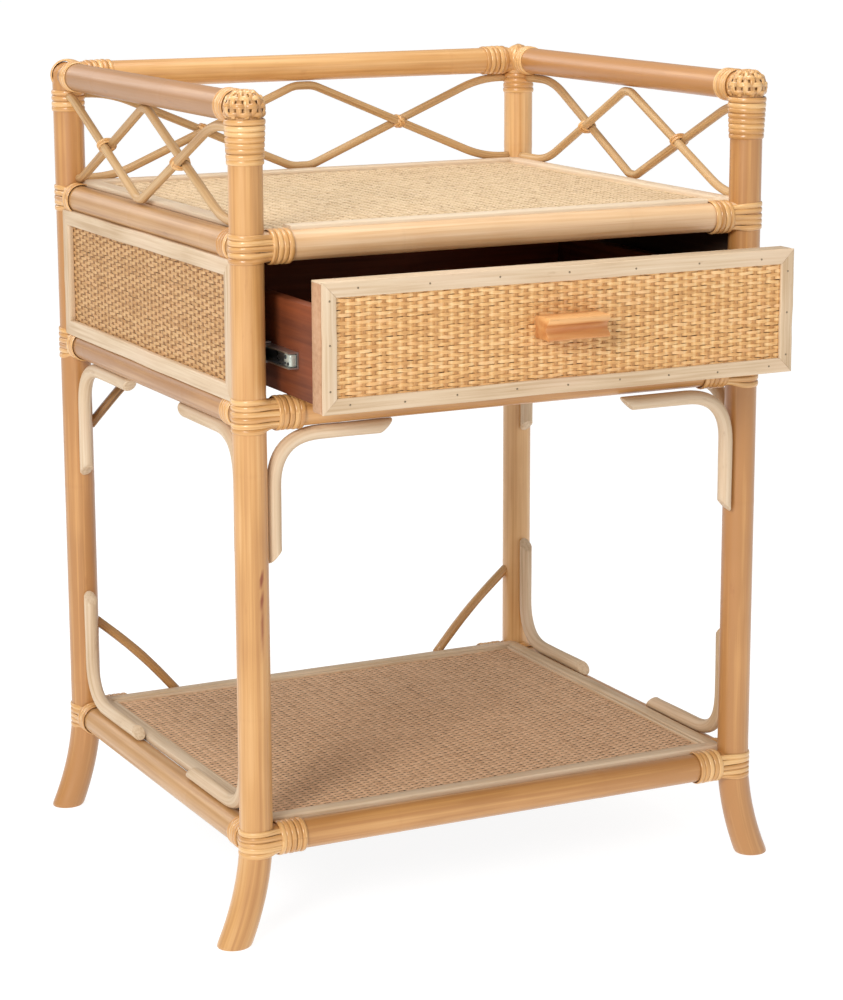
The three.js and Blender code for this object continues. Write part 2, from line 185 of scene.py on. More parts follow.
def rounded_box(width, height, radius, steps=3, base=0.0):
    """A section `width` across, standing from `base` to `base + height`, with rounded corners."""
    corners = []
    for x, y, start in ((1, 0, -90), (1, 1, 0), (-1, 1, 90), (-1, 0, 180)):
        centre_x = x * (width / 2 - radius)
        centre_y = base + (height - radius if y else radius)
        for step in range(steps):
            turn = math.radians(start + 90 * step / (steps - 1))
            corners.append((centre_x + radius * math.cos(turn), centre_y + radius * math.sin(turn)))
    return np.array(corners)


def peel_section(width=PEEL_WIDTH, thick=PEEL_THICK):
    """A split cane: flat underneath, crowned on top."""
    outline = ((-0.5, 0), (0.5, 0), (0.47, 0.5), (0.27, 0.9), (0, 1), (-0.27, 0.9), (-0.47, 0.5))
    return np.array(outline) * (width, thick)


def tangents(path, loop):
    if loop:
        return unit(np.roll(path, -1, 0) - np.roll(path, 1, 0))
    return unit(np.gradient(path, axis=0))


def rounded_path(corners, bends, step=6 * MM, bend_steps=8):
    """Points of a line through the corners, each turned on a curve that starts `bend` away from it."""
    corners = [np.asarray(c, float) for c in corners]
    points = [corners[0]]

    def run_to(point):
        start = points[-1]
        count = max(1, round(np.linalg.norm(point - start) / step))
        points.extend(start + (point - start) * (k + 1) / count for k in range(count))

    for before, corner, after, bend in zip(corners, corners[1:], corners[2:], bends):
        first = corner + unit(before - corner) * bend
        last = corner + unit(after - corner) * bend
        run_to(first)
        for k in range(1, bend_steps + 1):
            t = k / bend_steps
            points.append((1 - t) ** 2 * first + 2 * t * (1 - t) * corner + t * t * last)
    run_to(corners[-1])
    return np.array(points)


# ---- meshes


class Strips:
    """Gathers swept strips into one mesh. Each point keeps its place in the strip, for the grain,
    a tone that makes it paler or darker, at random or as painted light and shade, and a mark that
    darkens nodes, knots and splits and paints shade into hollows where strips pass under others."""

    def __init__(self, seed):
        self.random = np.random.default_rng(seed)
        self.points, self.grain, self.tone, self.mark = [], [], [], []
        self.quads, self.caps = [], []
        self.total = 0

    def add(
        self, path, out, section, loop=False, slant=(0.0, 0.0), cut=1, tangent=None, tone=None, mark=0.0
    ):
        """Carries the section along the path, its y towards `out`. `slant` moves the points of the
        first and last `cut` sections along the path. `section` may be one outline, or one for each
        point of the path."""
        path = np.asarray(path, float)
        count = len(path)
        ahead = tangents(path, loop) if tangent is None else np.broadcast_to(tangent, path.shape)
        out = np.broadcast_to(np.asarray(out, float), path.shape)
        out = unit(out - (out * ahead).sum(1, keepdims=True) * ahead)
        across = np.cross(out, ahead)
        section = np.asarray(section, float)
        if section.ndim == 2:
            section = np.broadcast_to(section, (count, *section.shape))
        rings = path[:, None] + section[..., :1] * across[:, None] + section[..., 1:] * out[:, None]
        for k in range(0 if loop else cut):
            rings[k] += ahead[k] * np.reshape(slant[0], (-1, 1))
            rings[-1 - k] += ahead[-1 - k] * np.reshape(slant[1], (-1, 1))
        sides = section.shape[1]
        steps = np.linalg.norm(np.diff(path, axis=0), axis=1)
        along = np.concatenate([[0.0], np.cumsum(steps)])[:, None, None]
        shift = self.random.uniform(0, 3, 3)
        place = np.concatenate([section, np.broadcast_to(along, (count, sides, 1))], 2) + shift
        tone = self.random.uniform() if tone is None else tone
        tone, mark = np.asarray(tone, float), np.asarray(mark, float)
        tone = np.broadcast_to(tone if tone.ndim == 2 else tone.reshape(-1, 1), (count, sides))
        mark = np.broadcast_to(mark if mark.ndim == 2 else mark.reshape(-1, 1), (count, sides))

        index = np.arange(count * sides).reshape(count, sides) + self.total
        following = np.roll(index, -1, 0) if loop else index[1:]
        current = index if loop else index[:-1]
        turned = np.roll(current, -1, 1), np.roll(following, -1, 1)
        self.quads.append(np.stack([current, turned[0], turned[1], following], -1).reshape(-1, 4))
        if not loop:
            self.caps.append(index[0][::-1])
            self.caps.append(index[-1])
        self.points.append(rings.reshape(-1, 3))
        self.grain.append(place.reshape(-1, 3))
        self.tone.append(tone.reshape(-1))
        self.mark.append(mark.reshape(-1))
        self.total += count * sides

    def board(self, low, high, axis, radius=1.0 * MM):
        """A sawn board between two corners, its grain along `axis`, with eased edges."""
        low, high = np.array(low, float), np.array(high, float)
        radius = min(radius, 0.45 * min(high - low))
        size, centre = high - low, (low + high) / 2
        ahead = (X, Y, Z)[axis]
        out = Z if axis < 2 else Y
        wide = abs(np.cross(out, ahead)) @ size
        deep = abs(out) @ size
        section = rounded_box(wide, deep, radius, base=-deep / 2)
        reach = [-0.5 * size[axis], -0.5 * size[axis] + radius, 0.5 * size[axis] - radius, 0.5 * size[axis]]
        path = centre + np.array(reach)[:, None] * ahead
        eased = section - np.sign(section) * radius * 0.7
        self.add(path, out, np.array([eased, section, section, eased]))

    def build(self, name, look, replaces=(), body="frame", sharp_angle=50):
        """Makes the piece, with the finish of its look in its one material slot."""
        points = np.concatenate(self.points)
        quads = np.concatenate(self.quads)
        corners = np.concatenate([quads.ravel(), *self.caps])
        starts = np.arange(len(quads)) * 4
        if self.caps:
            sizes = np.array([len(cap) for cap in self.caps])
            starts = np.concatenate([starts, len(quads) * 4 + np.cumsum(sizes) - sizes])
        mesh = bpy.data.meshes.new(name)
        mesh.vertices.add(len(points))
        mesh.vertices.foreach_set("co", points.astype(np.float32).ravel())
        mesh.loops.add(len(corners))
        mesh.loops.foreach_set("vertex_index", corners.astype(np.int32))
        mesh.polygons.add(len(starts))
        mesh.polygons.foreach_set("loop_start", starts.astype(np.int32))
        mesh.update(calc_edges=True)
        for key, kind, field, values in (
            ("grain", "FLOAT_VECTOR", "vector", self.grain),
            ("tone", "FLOAT", "value", self.tone),
            ("mark", "FLOAT", "value", self.mark),
        ):
            attribute = mesh.attributes.new(key, kind, "POINT")
            attribute.data.foreach_set(field, np.concatenate(values).astype(np.float32).ravel())
        mesh.shade_smooth()
        mesh.set_sharp_from_angle(angle=math.radians(sharp_angle))
        mesh.materials.append(finish[look])
        piece = bpy.data.objects.new(name, mesh)
        bpy.context.scene.collection.objects.link(piece)
        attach(piece, body)
        if replaces:
            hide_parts(*replaces)


# ---- materials


def srgb(red, green, blue):
    """A colour given from 0 to 255, as a linear one."""
    scaled = [c / 255 for c in (red, green, blue)]
    return (*[c / 12.92 if c <= 0.04045 else ((c + 0.055) / 1.055) ** 2.4 for c in scaled], 1.0)


finish = {}


class Finish:
    """A material whose nodes are made in a row, from the strip's grain, tone and mark."""

    def __init__(self, name):
        self.name = name
        self.material = bpy.data.materials.new(name)
        self.material.use_nodes = True
        self.tree = self.material.node_tree
        self.shader = self.tree.nodes["Principled BSDF"]

    def node(self, kind, **inputs):
        made = self.tree.nodes.new(kind)
        for key, value in inputs.items():
            self.feed(made.inputs[key.replace("_", " ")], value)
        return made

    def feed(self, socket, value):
        if isinstance(value, bpy.types.NodeSocket):
            self.tree.links.new(value, socket)
        else:
            socket.default_value = value

    def attribute(self, name, output):
        made = self.tree.nodes.new("ShaderNodeAttribute")
        made.attribute_name = name
        return made.outputs[output]

    def noise(self, scale, detail, source=None):
        """Noise over the grain, `scale` being its cycles for each metre across, out and along."""
        spread = self.node("ShaderNodeMapping", Vector=source or self.attribute("grain", "Vector"))
        spread.inputs["Scale"].default_value = scale
        made = self.node(
            "ShaderNodeTexNoise", Vector=spread.outputs[0], Scale=1.0, Detail=detail, Roughness=0.55
        )
        return made.outputs["Fac"]

    def ramp(self, factor, *stops):
        made = self.node("ShaderNodeValToRGB", Fac=factor)
        elements = made.color_ramp.elements
        while len(elements) < len(stops):
            elements.new(0.5)
        for element, (at, colour) in zip(elements, stops):
            element.position = at
            element.color = colour
        return made.outputs["Color"]

    def range(self, value, from_low, from_high, low, high):
        limits = {"From Min": from_low, "From Max": from_high, "To Min": low, "To Max": high}
        made = self.node("ShaderNodeMapRange", Value=value)
        for key, number in limits.items():
            made.inputs[key].default_value = number
        return made.outputs["Result"]

    def math(self, operation, first, second=0.0):
        made = self.tree.nodes.new("ShaderNodeMath")
        made.operation = operation
        self.feed(made.inputs[0], first)
        self.feed(made.inputs[1], second)
        return made.outputs[0]

    def mix(self, factor, first, second):
        made = self.tree.nodes.new("ShaderNodeMix")
        made.data_type = "RGBA"
        self.feed(made.inputs["Factor"], factor)
        self.feed(made.inputs["A"], first)
        self.feed(made.inputs["B"], second)
        return made.outputs["Result"]

    def bump(self, height, distance):
        made = self.node("ShaderNodeBump", Height=height, Strength=1.0, Distance=distance)
        return made.outputs["Normal"]

    def done(self, colour, roughness, normal, coat=0.0, coat_roughness=0.3, metallic=0.0):
        self.feed(self.shader.inputs["Base Color"], colour)
        self.feed(self.shader.inputs["Roughness"], roughness)
        self.feed(self.shader.inputs["Normal"], normal)
        self.shader.inputs["Metallic"].default_value = metallic
        self.shader.inputs["Coat Weight"].default_value = coat
        self.shader.inputs["Coat Roughness"].default_value = coat_roughness
        finish[self.name] = self.material


def cane_finish(
    name, dark, plain, light, streak=(420, 420, 7), blotch=(26, 26, 9), fibre=(2200, 2200, 40),
    node_and_shade_colour=(118, 74, 40), node_and_shade_strength=0.5, tone_shift=0.25, tint=(214, 160, 128),
    rough=(0.36, 0.5), coat=0.25, coat_roughness=0.25, stain=0.25, speck_strength=0.35,
):
    """Cane, peel or wood with streaks along its grain, broad patches, dark nodes and fine fibres."""
    f = Finish(name)
    tone = f.attribute("tone", "Fac")
    streaks = f.noise(streak, 4)
    patches = f.noise(blotch, 2)
    fibres = f.noise(fibre, 2)
    level = f.math("ADD", f.math("MULTIPLY", streaks, 0.6), f.math("MULTIPLY", patches, 0.4))
    level = f.math("ADD", level, f.math("MULTIPLY", f.math("SUBTRACT", tone, 0.5), tone_shift))
    colour = f.ramp(level, (0.34, srgb(*dark)), (0.5, srgb(*plain)), (0.68, srgb(*light)))
    colour = f.mix(f.range(patches, 0.5, 0.72, 0.0, stain), colour, srgb(*tint))
    speck_scale = (blotch[0] * 4, blotch[1] * 4, blotch[2] * 3)
    speck = f.range(f.noise(speck_scale, 5), 0.66, 0.74, 0.0, speck_strength)
    colour = f.mix(speck, colour, srgb(*node_and_shade_colour))
    colour = f.mix(f.range(fibres, 0.35, 0.65, 0.1, 0.0), colour, srgb(*dark))
    # The mark mixes in the node and shade colour: it darkens real nodes, splits and flaws, and paints shade
    # into hollows where strips pass under others.
    mark = f.attribute("mark", "Fac")
    colour = f.mix(f.math("MULTIPLY", mark, node_and_shade_strength), colour, srgb(*node_and_shade_colour))
    roughness = f.range(streaks, 0.3, 0.7, rough[1], rough[0])
    height = f.math("ADD", f.math("MULTIPLY", streaks, 0.6), f.math("MULTIPLY", fibres, 0.4))
    f.done(colour, roughness, f.bump(height, 0.00012), coat, coat_roughness)


def steel_finish(name, plain, light, rough, cloud_scale, metallic=1.0):
    """Plated sheet: faint rolling lines, cloudy roughness and small dull spots."""
    f = Finish(name)
    place = f.tree.nodes.new("ShaderNodeTexCoord").outputs["Object"]
    lines = f.noise((1500, 20, 1500), 2, place)
    cloud = f.noise((cloud_scale, cloud_scale, cloud_scale), 4, place)
    colour = f.mix(cloud, srgb(*plain), srgb(*light))
    roughness = f.range(cloud, 0.3, 0.7, rough[0], rough[1])
    f.done(colour, roughness, f.bump(lines, 0.00003), metallic=metallic)


# What the poles, the upright weaves and the shelf mats have in common.
POLE = {"streak": (300, 300, 5), "node_and_shade_strength": 0.1, "coat_roughness": 0.34}
WOVEN = {
    "streak": (500, 500, 90), "blotch": (60, 60, 30), "tone_shift": 0.3, "stain": 0.4,
    "speck_strength": 0.55,
}
MAT = {
    "streak": (500, 500, 90), "blotch": (70, 70, 40), "rough": (0.6, 0.72), "coat": 0.0,
    "stain": 0.3, "speck_strength": 0.6,
}


def make_finishes():
    cane_finish(
        "pole_rattan", (183, 127, 68), (207, 153, 89), (228, 182, 122), tint=(205, 144, 83),
        node_and_shade_colour=(140, 64, 10), tone_shift=0.4, coat=0.6, speck_strength=0.2, **POLE,
    )
    # A paler, less saturated copy of the pole rattan for the upper front rail: a painted highlight on its
    # crown.
    cane_finish(
        "pole_rattan_highlit", (196, 146, 98), (218, 173, 123), (236, 200, 156), tint=(217, 164, 112),
        node_and_shade_colour=(150, 96, 50), tone_shift=0.3, coat=0.85, speck_strength=0.25, **POLE,
    )
    # A darker, greyer copy of the pole rattan for the left rails: painted shade on that side of the frame.
    cane_finish(
        "pole_rattan_left_shade", (168, 119, 71), (189, 142, 88), (205, 161, 107), tint=(190, 135, 87),
        tone_shift=0.3, coat=0.35, **POLE,
    )
    cane_finish(
        "core_cane", (192, 162, 126), (214, 188, 155), (228, 207, 178), tint=(212, 178, 148),
        streak=(420, 420, 9), node_and_shade_colour=(150, 110, 75), rough=(0.5, 0.62), coat=0.05,
        tone_shift=0.12, stain=0.4,
    )
    cane_finish(
        "lattice_cane", (172, 130, 82), (201, 163, 112), (220, 187, 138), tint=(194, 149, 102),
        streak=(600, 600, 9), rough=(0.42, 0.55), coat=0.12, tone_shift=0.15,
    )
    cane_finish(
        "brace_cane", (120, 84, 44), (178, 130, 76), (204, 158, 102), tint=(120, 104, 62),
        streak=(700, 700, 9), stain=0.6, coat=0.3,
    )
    cane_finish(
        "peel_binding", (190, 135, 75), (216, 164, 100), (238, 196, 136), tint=(219, 158, 97),
        streak=(900, 900, 14), fibre=(3000, 3000, 60), rough=(0.28, 0.42), coat=0.5,
        coat_roughness=0.18, tone_shift=0.2, node_and_shade_strength=0.45,
    )
    cane_finish(
        "drawer_weave", (200, 146, 86), (226, 176, 112), (240, 202, 146), tint=(226, 166, 112),
        node_and_shade_colour=(156, 102, 48), node_and_shade_strength=0.5, rough=(0.45, 0.6), coat=0.1, **WOVEN,
    )
    # A darker copy of the drawer weave for the side and back panels: painted shade, as they stand in shade.
    cane_finish(
        "panel_weave", (176, 129, 78), (200, 155, 103), (218, 178, 126), tint=(202, 147, 98),
        node_and_shade_colour=(112, 74, 40), node_and_shade_strength=0.6, rough=(0.55, 0.68), coat=0.03, **WOVEN,
    )
    cane_finish(
        "top_mat", (200, 169, 129), (221, 194, 155), (233, 210, 174), tint=(215, 182, 148),
        node_and_shade_colour=(150, 108, 68), node_and_shade_strength=0.55, tone_shift=0.2, **MAT,
    )
    cane_finish(
        "bottom_mat", (200, 158, 120), (226, 185, 146), (240, 202, 164), tint=(218, 171, 132),
        node_and_shade_colour=(120, 84, 54), node_and_shade_strength=0.35, tone_shift=0.14, **MAT,
    )
    # Near-black brown for the boards behind the weaves and mats: painted shade for the dark inside the
    # frame and in the weave's gaps.
    cane_finish(
        "shaded_backing_board", (52, 34, 22), (66, 44, 28), (80, 56, 36), tint=(56, 38, 24),
        streak=(160, 160, 6), rough=(0.6, 0.75), coat=0.0,
    )
    cane_finish(
        "front_board", (176, 130, 94), (192, 147, 110), (203, 160, 124), tint=(194, 141, 104),
        streak=(260, 260, 6), rough=(0.5, 0.62), coat=0.05,
    )
    cane_finish(
        "box_wood", (97, 45, 20), (116, 57, 27), (138, 71, 35), tint=(138, 65, 26),
        streak=(260, 260, 9), node_and_shade_colour=(60, 26, 14), rough=(0.52, 0.64), coat=0.0, stain=0.6,
    )
    # The large tone shift is for the handle's painted highlight on its upper faces.
    cane_finish(
        "handle_wood", (182, 112, 58), (206, 142, 82), (228, 172, 110), tint=(194, 118, 58),
        streak=(150, 150, 10), blotch=(90, 90, 22), rough=(0.4, 0.5), coat=0.2, stain=0.8,
        tone_shift=0.5,
    )
    cane_finish(
        "batten_wood", (150, 116, 78), (186, 152, 108), (206, 174, 132), tint=(180, 140, 100),
        streak=(220, 220, 6), rough=(0.6, 0.72), coat=0.0,
    )
    steel_finish("slide_steel", (176, 182, 184), (224, 228, 228), (0.25, 0.42), 60)
    steel_finish("slide_zinc", (150, 160, 148), (222, 228, 216), (0.3, 0.42), 500, 0.35)
    # Near-black finish for the studs that paint the shade in the holes of the slide's front end.
    cane_finish(
        "slide_hole_shade", (16, 16, 17), (22, 22, 23), (32, 32, 33), tint=(20, 20, 22),
        streak=(300, 300, 300), rough=(0.4, 0.5), coat=0.1,
    )
    steel_finish("pin_steel", (120, 104, 84), (160, 146, 122), (0.35, 0.5), 400)


make_finishes()

# ---- poles


def node_rings(strips, length, spacing):
    """Places of the nodes along a pole, `spacing` being the least and most between them."""
    places = []
    at = strips.random.uniform(0.3, 1.0) * spacing[0]
    while at < length - 25 * MM:
        places.append(at)
        at += strips.random.uniform(*spacing)
    return np.array(places)


def pole_profile(along, nodes, step):
    """For each place along a pole, its growth at the nodes, and the mark that darkens them."""
    extra = np.array([-9, -5, -3, -1.8, -1, -0.4, 0, 0.4, 1, 1.8, 3, 5, 9]) * MM
    fine = (nodes[:, None] + extra).ravel() if len(nodes) else np.array([])
    plain = np.arange(along[0], along[1], step)
    places = np.unique(np.round(np.concatenate([plain, fine, along]), 5))
    places = places[(places >= along[0]) & (places <= along[1])]
    swell = np.ones(len(places))
    mark = np.zeros(len(places))
    for node in nodes:
        away = places - node
        swell += NODE_SWELL * np.exp(-((away / (3.2 * MM)) ** 2))
        swell -= NODE_LINE * np.exp(-((away / (0.7 * MM)) ** 2))
        mark = np.maximum(mark, NODE_MARK * np.exp(-((away / (1.6 * MM)) ** 2)))
    return places, swell, mark


def add_rail(strips, start, stop, tone):
    """A straight pole whose ends are hollowed to fit against the posts."""
    start, stop = np.array(start, float), np.array(stop, float)
    length = np.linalg.norm(stop - start)
    ahead = (stop - start) / length
    clear = POST_R + 2 * MM
    nodes = node_rings(strips, length - 2 * clear, RAIL_NODE_SPACING) + clear
    places, swell, mark = pole_profile((clear, length - clear), nodes, RAIL_STEP)
    places = np.concatenate([[0.0], places, [length]])
    swell = np.concatenate([[1.0], swell, [1.0]])
    mark = np.concatenate([[0.0], mark, [0.0]])
    section = circle(RAIL_R, 28)
    fit = np.sqrt(np.maximum(POST_R**2 - section[:, 0] ** 2, 0)) - TOUCH
    drift = strips.random.uniform(-1, 1, 2) * 0.5 * MM
    bow = np.sin(math.pi * places / length)[:, None] * (drift[0] * Z + drift[1] * np.cross(Z, ahead))
    path = start + places[:, None] * ahead + bow
    sections = section[None] * swell[:, None, None]
    strips.add(path, Z, sections, slant=(fit, -fit), tone=tone, mark=mark)


def add_post(strips, x, y, side, top, tone, crack=None):
    """A post, straight down to the bend and swept outwards to a foot cut level with the floor. Its
    top is rounded, under the bindings. `crack` is a dark split: its low and high end, and its side."""
    nodes = node_rings(strips, top, POST_NODE_SPACING) + 35 * MM
    nodes = nodes[nodes < top - 60 * MM]
    shoulder = top - 0.85 * POST_R
    places, swell, mark = pole_profile((3 * MM, shoulder), nodes, POST_STEP)
    arc = np.radians([15, 30, 45, 60, 75, 88])
    places = np.concatenate([[0.0, 0.8 * MM], places, shoulder + 0.85 * POST_R * np.sin(arc)])
    swell = np.concatenate([[0.93, 0.975], swell, np.cos(arc)])
    mark = np.concatenate([[0.25, 0.1], mark, np.zeros(len(arc))])
    below = np.clip(1 - places / FOOT_BEND_Z, 0, None)
    slope = 2 * FOOT_SPLAY * below / FOOT_BEND_Z
    path = np.stack([x + side * FOOT_SPLAY * below**2, np.full(len(places), y), places], 1)
    section = circle(POST_R, 32)
    sections = section[None] * swell[:, None, None]
    sections = sections * np.stack([np.hypot(1, slope), np.ones(len(places))], 1)[:, None]
    mark = np.repeat(mark[:, None], len(section), 1)
    if crack is not None:
        low, high, where = crack
        turn = np.arctan2(section[:, 1], section[:, 0])
        across = np.exp(-(((turn - where + np.pi) % (2 * np.pi) - np.pi) / 0.08) ** 2)
        within = smoothstep((places - low) / (12 * MM)) * smoothstep((high - places) / (12 * MM))
        broken = 0.5 + 0.5 * np.sin(places / (3.1 * MM))
        mark = np.maximum(mark, CRACK_MARK * (within * broken)[:, None] * across[None])
    strips.add(path, Y, sections, tangent=Z, tone=tone, mark=mark)


def rail_ends(place, z):
    """Both ends of a rail's axis. The left and right rails run back, and the others run across."""
    if place in POST_X:
        return [(POST_X[place], y, z) for y in POST_Y.values()]
    return [(x, POST_Y[place], z) for x in POST_X.values()]


def make_poles():
    seed = 100
    for end, _ in ENDS:
        for name, side in SIDES:
            seed += 1
            post = Strips(seed)
            place = f"{end}_{name}"
            crack = (CRACK_LOW, CRACK_HIGH, CRACK_SIDE) if place == "front_left" else None
            add_post(post, POST_X[name], POST_Y[end], side, POST_TOP, POST_TONE[place], crack)
            node = f"post_{place}"
            post.build(f"{node}_pole", "pole_rattan", [node])
    for level, z in LEVELS.items():
        for place in ("left", "right", "front", "back"):
            if (level, place) == ("gallery", "front"):
                continue
            seed += 1
            rail = Strips(seed)
            add_rail(rail, *rail_ends(place, z), RAIL_TONE[f"{level}_{place}"])
            node = f"{level}_rail_{place}"
            # The left rails take the darker, greyer copy of the rattan: painted shade.
            look = "pole_rattan_left_shade" if place == "left" else "pole_rattan"
            # The upper front rail takes the paler copy of the rattan: a painted highlight on its crown.
            if node == "upper_rail_front":
                look = "pole_rattan_highlit"
            rail.build(f"{node}_pole", look, [node])


# ---- canes


def add_cane(strips, path, out, radius, slant=(0.0, 0.0), sides=16):
    """A round cane with a slightly uneven surface and eased ends."""
    count = len(path)
    wave = strips.random.uniform(0, 2 * math.pi, 2)
    s = np.linspace(0, 1, count)
    size = 1 + 0.015 * np.sin(9 * s + wave[0]) + 0.01 * np.sin(23 * s + wave[1])
    size[0] *= 0.86
    size[-1] *= 0.86
    ahead = tangents(path, False)
    out = np.broadcast_to(out, path.shape)
    ease = 0.9 * MM
    start, stop = path[:1], path[-1:]
    path = np.concatenate([start, start + ahead[:1] * ease, path[1:-1], stop - ahead[-1:] * ease, stop])
    out = np.concatenate([out[:1], out[:1], out[1:-1], out[-1:], out[-1:]])
    size = np.concatenate([size[:1], [1.0], size[1:-1], [1.0], size[-1:]])
    section = circle(radius, sides)
    ends = [amount * section[:, 1] for amount in slant]
    strips.add(path, out, section[None] * size[:, None, None], slant=ends, cut=2)


# The lattices are bent by hand: their level lengths at either post, measured from its axis, where
# the middle sits, and half the level length there.
LATTICE_SHAPES = {
    "left": ((57 * MM, 18 * MM), 20 * MM, 6 * MM),
    "right": ((29 * MM, 64 * MM), -11 * MM, 6 * MM),
    "back": ((41 * MM, 41 * MM), 0.0, 10 * MM),
}


def lattice_path(name, length, gap, end_z, centre_z):
    """One wave of the gallery lattice, in its own X and Z, from post to post."""
    runs, centre, flat = LATTICE_SHAPES[name]
    half = length / 2
    first, last = half - runs[0], half - runs[1]
    corners = [(-half, 0, end_z), (-first, 0, end_z), (centre - flat, 0, centre_z)]
    corners += [(centre + flat, 0, centre_z), (last, 0, end_z), (half, 0, end_z)]
    ends = [min(LATTICE_END_BEND, 0.75 * run) for run in runs]
    path = rounded_path(corners, (ends[0], 0.6 * flat, 0.6 * flat, ends[1]), step=12 * MM)
    inside = path[abs(path[:, 0]) < half - gap - 2 * MM]
    return np.concatenate([[(gap - half, 0, inside[0][2])], inside, [(half - gap, 0, inside[-1][2])]])


def add_crossing(strips, centre, along, normal, cane_r):
    """Peel wound across a lattice crossing, two turns on each diagonal."""
    for lean in (-1, 1):
        for step in (-0.5, 0.5):
            axis = unit(along * math.cos(0.62 * lean) + Z * math.sin(0.62 * lean))
            side = np.cross(normal, axis)
            turn = full_turn(28)[:, None]
            out = normal * np.cos(turn) + side * np.sin(turn)
            reach = normal * np.cos(turn) * 1.95 * cane_r + side * np.sin(turn) * 1.45 * cane_r
            grow = 1 + 0.05 * (lean + step)
            path = centre + reach * grow + axis * step * 2.9 * MM
            strips.add(path, out, peel_section(2.8 * MM, 0.9 * MM), loop=True)


def make_lattices():
    post_gap = POST_R - TOUCH
    for name, normal in (("left", -X), ("right", X), ("back", Y)):
        node = f"gallery_lattice_{name}"
        low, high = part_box(node)
        cane_r = half_size(node, 0 if name != "back" else 1)
        low_z, high_z = low[2] + cane_r, high[2] - cane_r
        if name == "back":
            middle_at = np.array((0.0, POST_Y["back"], 0.0))
            along, length = X, POST_X["right"] - POST_X["left"]
        else:
            middle_at = np.array((POST_X[name], (POST_Y["front"] + POST_Y["back"]) / 2, 0.0))
            along, length = Y, POST_Y["back"] - POST_Y["front"]
        canes = Strips(200 + len(name))
        bindings = Strips(220 + len(name))
        waves = []
        for layer, (end_z, centre_z) in enumerate(((high_z, low_z), (low_z, high_z))):
            local = lattice_path(name, length, post_gap, end_z, centre_z)
            shift = (cane_r - 0.5 * MM) * (-1 if layer else 1)
            path = middle_at + local[:, :1] * along + local[:, 2:] * Z + normal * shift
            add_cane(canes, path, normal, cane_r)
            waves.append(local)
        middle_reach = LATTICE_SHAPES[name][1]
        for side in (-1, 1):
            reach = middle_reach + side * np.linspace(0, 0.3 * length, 400)
            heights = [np.interp(reach, wave[:, 0], wave[:, 2]) for wave in waves]
            cross = reach[np.argmin(abs(heights[0] - heights[1]))]
            centre = middle_at + along * cross + Z * (low_z + high_z) / 2
            add_crossing(bindings, centre, along, normal, cane_r)
        canes.build(f"{node}_canes", "lattice_cane", [node])
        bindings.build(f"{node}_bindings", "peel_binding")


def add_bracket(strips, nails, x, y, z, along_rail, along_post, rail_reach=BRACKET_RAIL_REACH):
    """A bent cane lying against a rail and a post, its ends cut slanting away from them, and a
    nail near each end."""
    off_rail = RAIL_R + TOUCH + BRACKET_R
    off_post = POST_R + TOUCH + BRACKET_R
    at = np.array((x, y, z))
    corners = (
        at + along_rail * rail_reach + along_post * off_rail,
        at + along_rail * off_post + along_post * off_rail,
        at + along_rail * off_post + along_post * BRACKET_POST_REACH,
    )
    path = rounded_path(corners, (BRACKET_BEND,), step=8 * MM, bend_steps=14)
    inward = unit(along_rail + along_post)
    ahead = tangents(path, False)
    side = np.cross(ahead, np.cross(inward, ahead))
    add_cane(strips, path, side, BRACKET_R, slant=(0.85, -0.85), sides=20)
    for k in (2, -3):
        start = path[k] + side[k] * (BRACKET_R - 0.6 * MM)
        steps = np.array([0.0, 0.8, 0.95, 1.0])[:, None] * MM
        size = np.array([1.0, 1.0, 0.7, 0.3])[:, None, None]
        nails.add(start + steps * side[k], ahead[k], circle(1.1 * MM, 10)[None] * size, tangent=side[k])


def make_brackets():
    seed = 300
    nails = Strips(299)
    for name, side in SIDES:
        x = POST_X[name]
        seed += 1
        cane = Strips(seed)
        y = POST_Y["front"] - (BRACKET_CROSS_RIGHT_FORWARD if side > 0 else 0)
        add_bracket(cane, nails, x, y, LEVELS["middle"], -side * X, -Z, BRACKET_CROSS_REACH)
        node = f"upper_bracket_cross_front_{name}"
        cane.build(f"{node}_cane", "core_cane", [node])
        for end, sign in ENDS:
            for place, level, up in (("upper", "middle", -1), ("lower", "lower", 1)):
                seed += 1
                cane = Strips(seed)
                add_bracket(cane, nails, x, POST_Y[end], LEVELS[level], -sign * Y, up * Z)
                node = f"{place}_bracket_{end}_{name}"
                cane.build(f"{node}_cane", "core_cane", [node])
    nails.build("bracket_nails", "pin_steel")


def make_braces():
    seed = 340
    y = POST_Y["back"]
    for name, side in SIDES:
        for place, level, reach in (
            ("upper", "middle", -UPPER_BRACE_REACH),
            ("lower", "lower", LOWER_BRACE_REACH),
        ):
            seed += 1
            cane = Strips(seed)
            x, z = POST_X[name], LEVELS[level]
            foot = np.array((x - side * abs(reach), y, z))
            head = np.array((x, y, z + reach))
            ahead = unit(head - foot)
            foot = foot + ahead * (RAIL_R + 3 * MM)
            head = head - ahead * (POST_R + 3 * MM)
            t = np.linspace(0, 1, 14)[:, None]
            bow = np.cross(ahead, Y) * (3 * MM if place == "lower" else 1 * MM) * side
            path = foot + (head - foot) * t + bow * np.sin(math.pi * t)
            add_cane(cane, path, Y, BRACE_R)
            node = f"back_brace_{place}_{name}"
            cane.build(f"{node}_cane", "brace_cane", [node])


# ---- bindings


def add_ring(strips, centre, axis, radius):
    """One turn of peel round a pole, slightly out of true."""
    wobble = strips.random.uniform(-0.35, 0.35) * MM
    phase = strips.random.uniform(0, 6)
    first = unit(np.cross(axis, Z if abs(axis[2]) < 0.9 else X))
    second = np.cross(axis, first)
    turn = full_turn(40)[:, None]
    out = first * np.cos(turn) + second * np.sin(turn)
    path = np.asarray(centre) + out * radius + axis * wobble * np.sin(turn + phase)
    strips.add(path, out, peel_section(), loop=True)


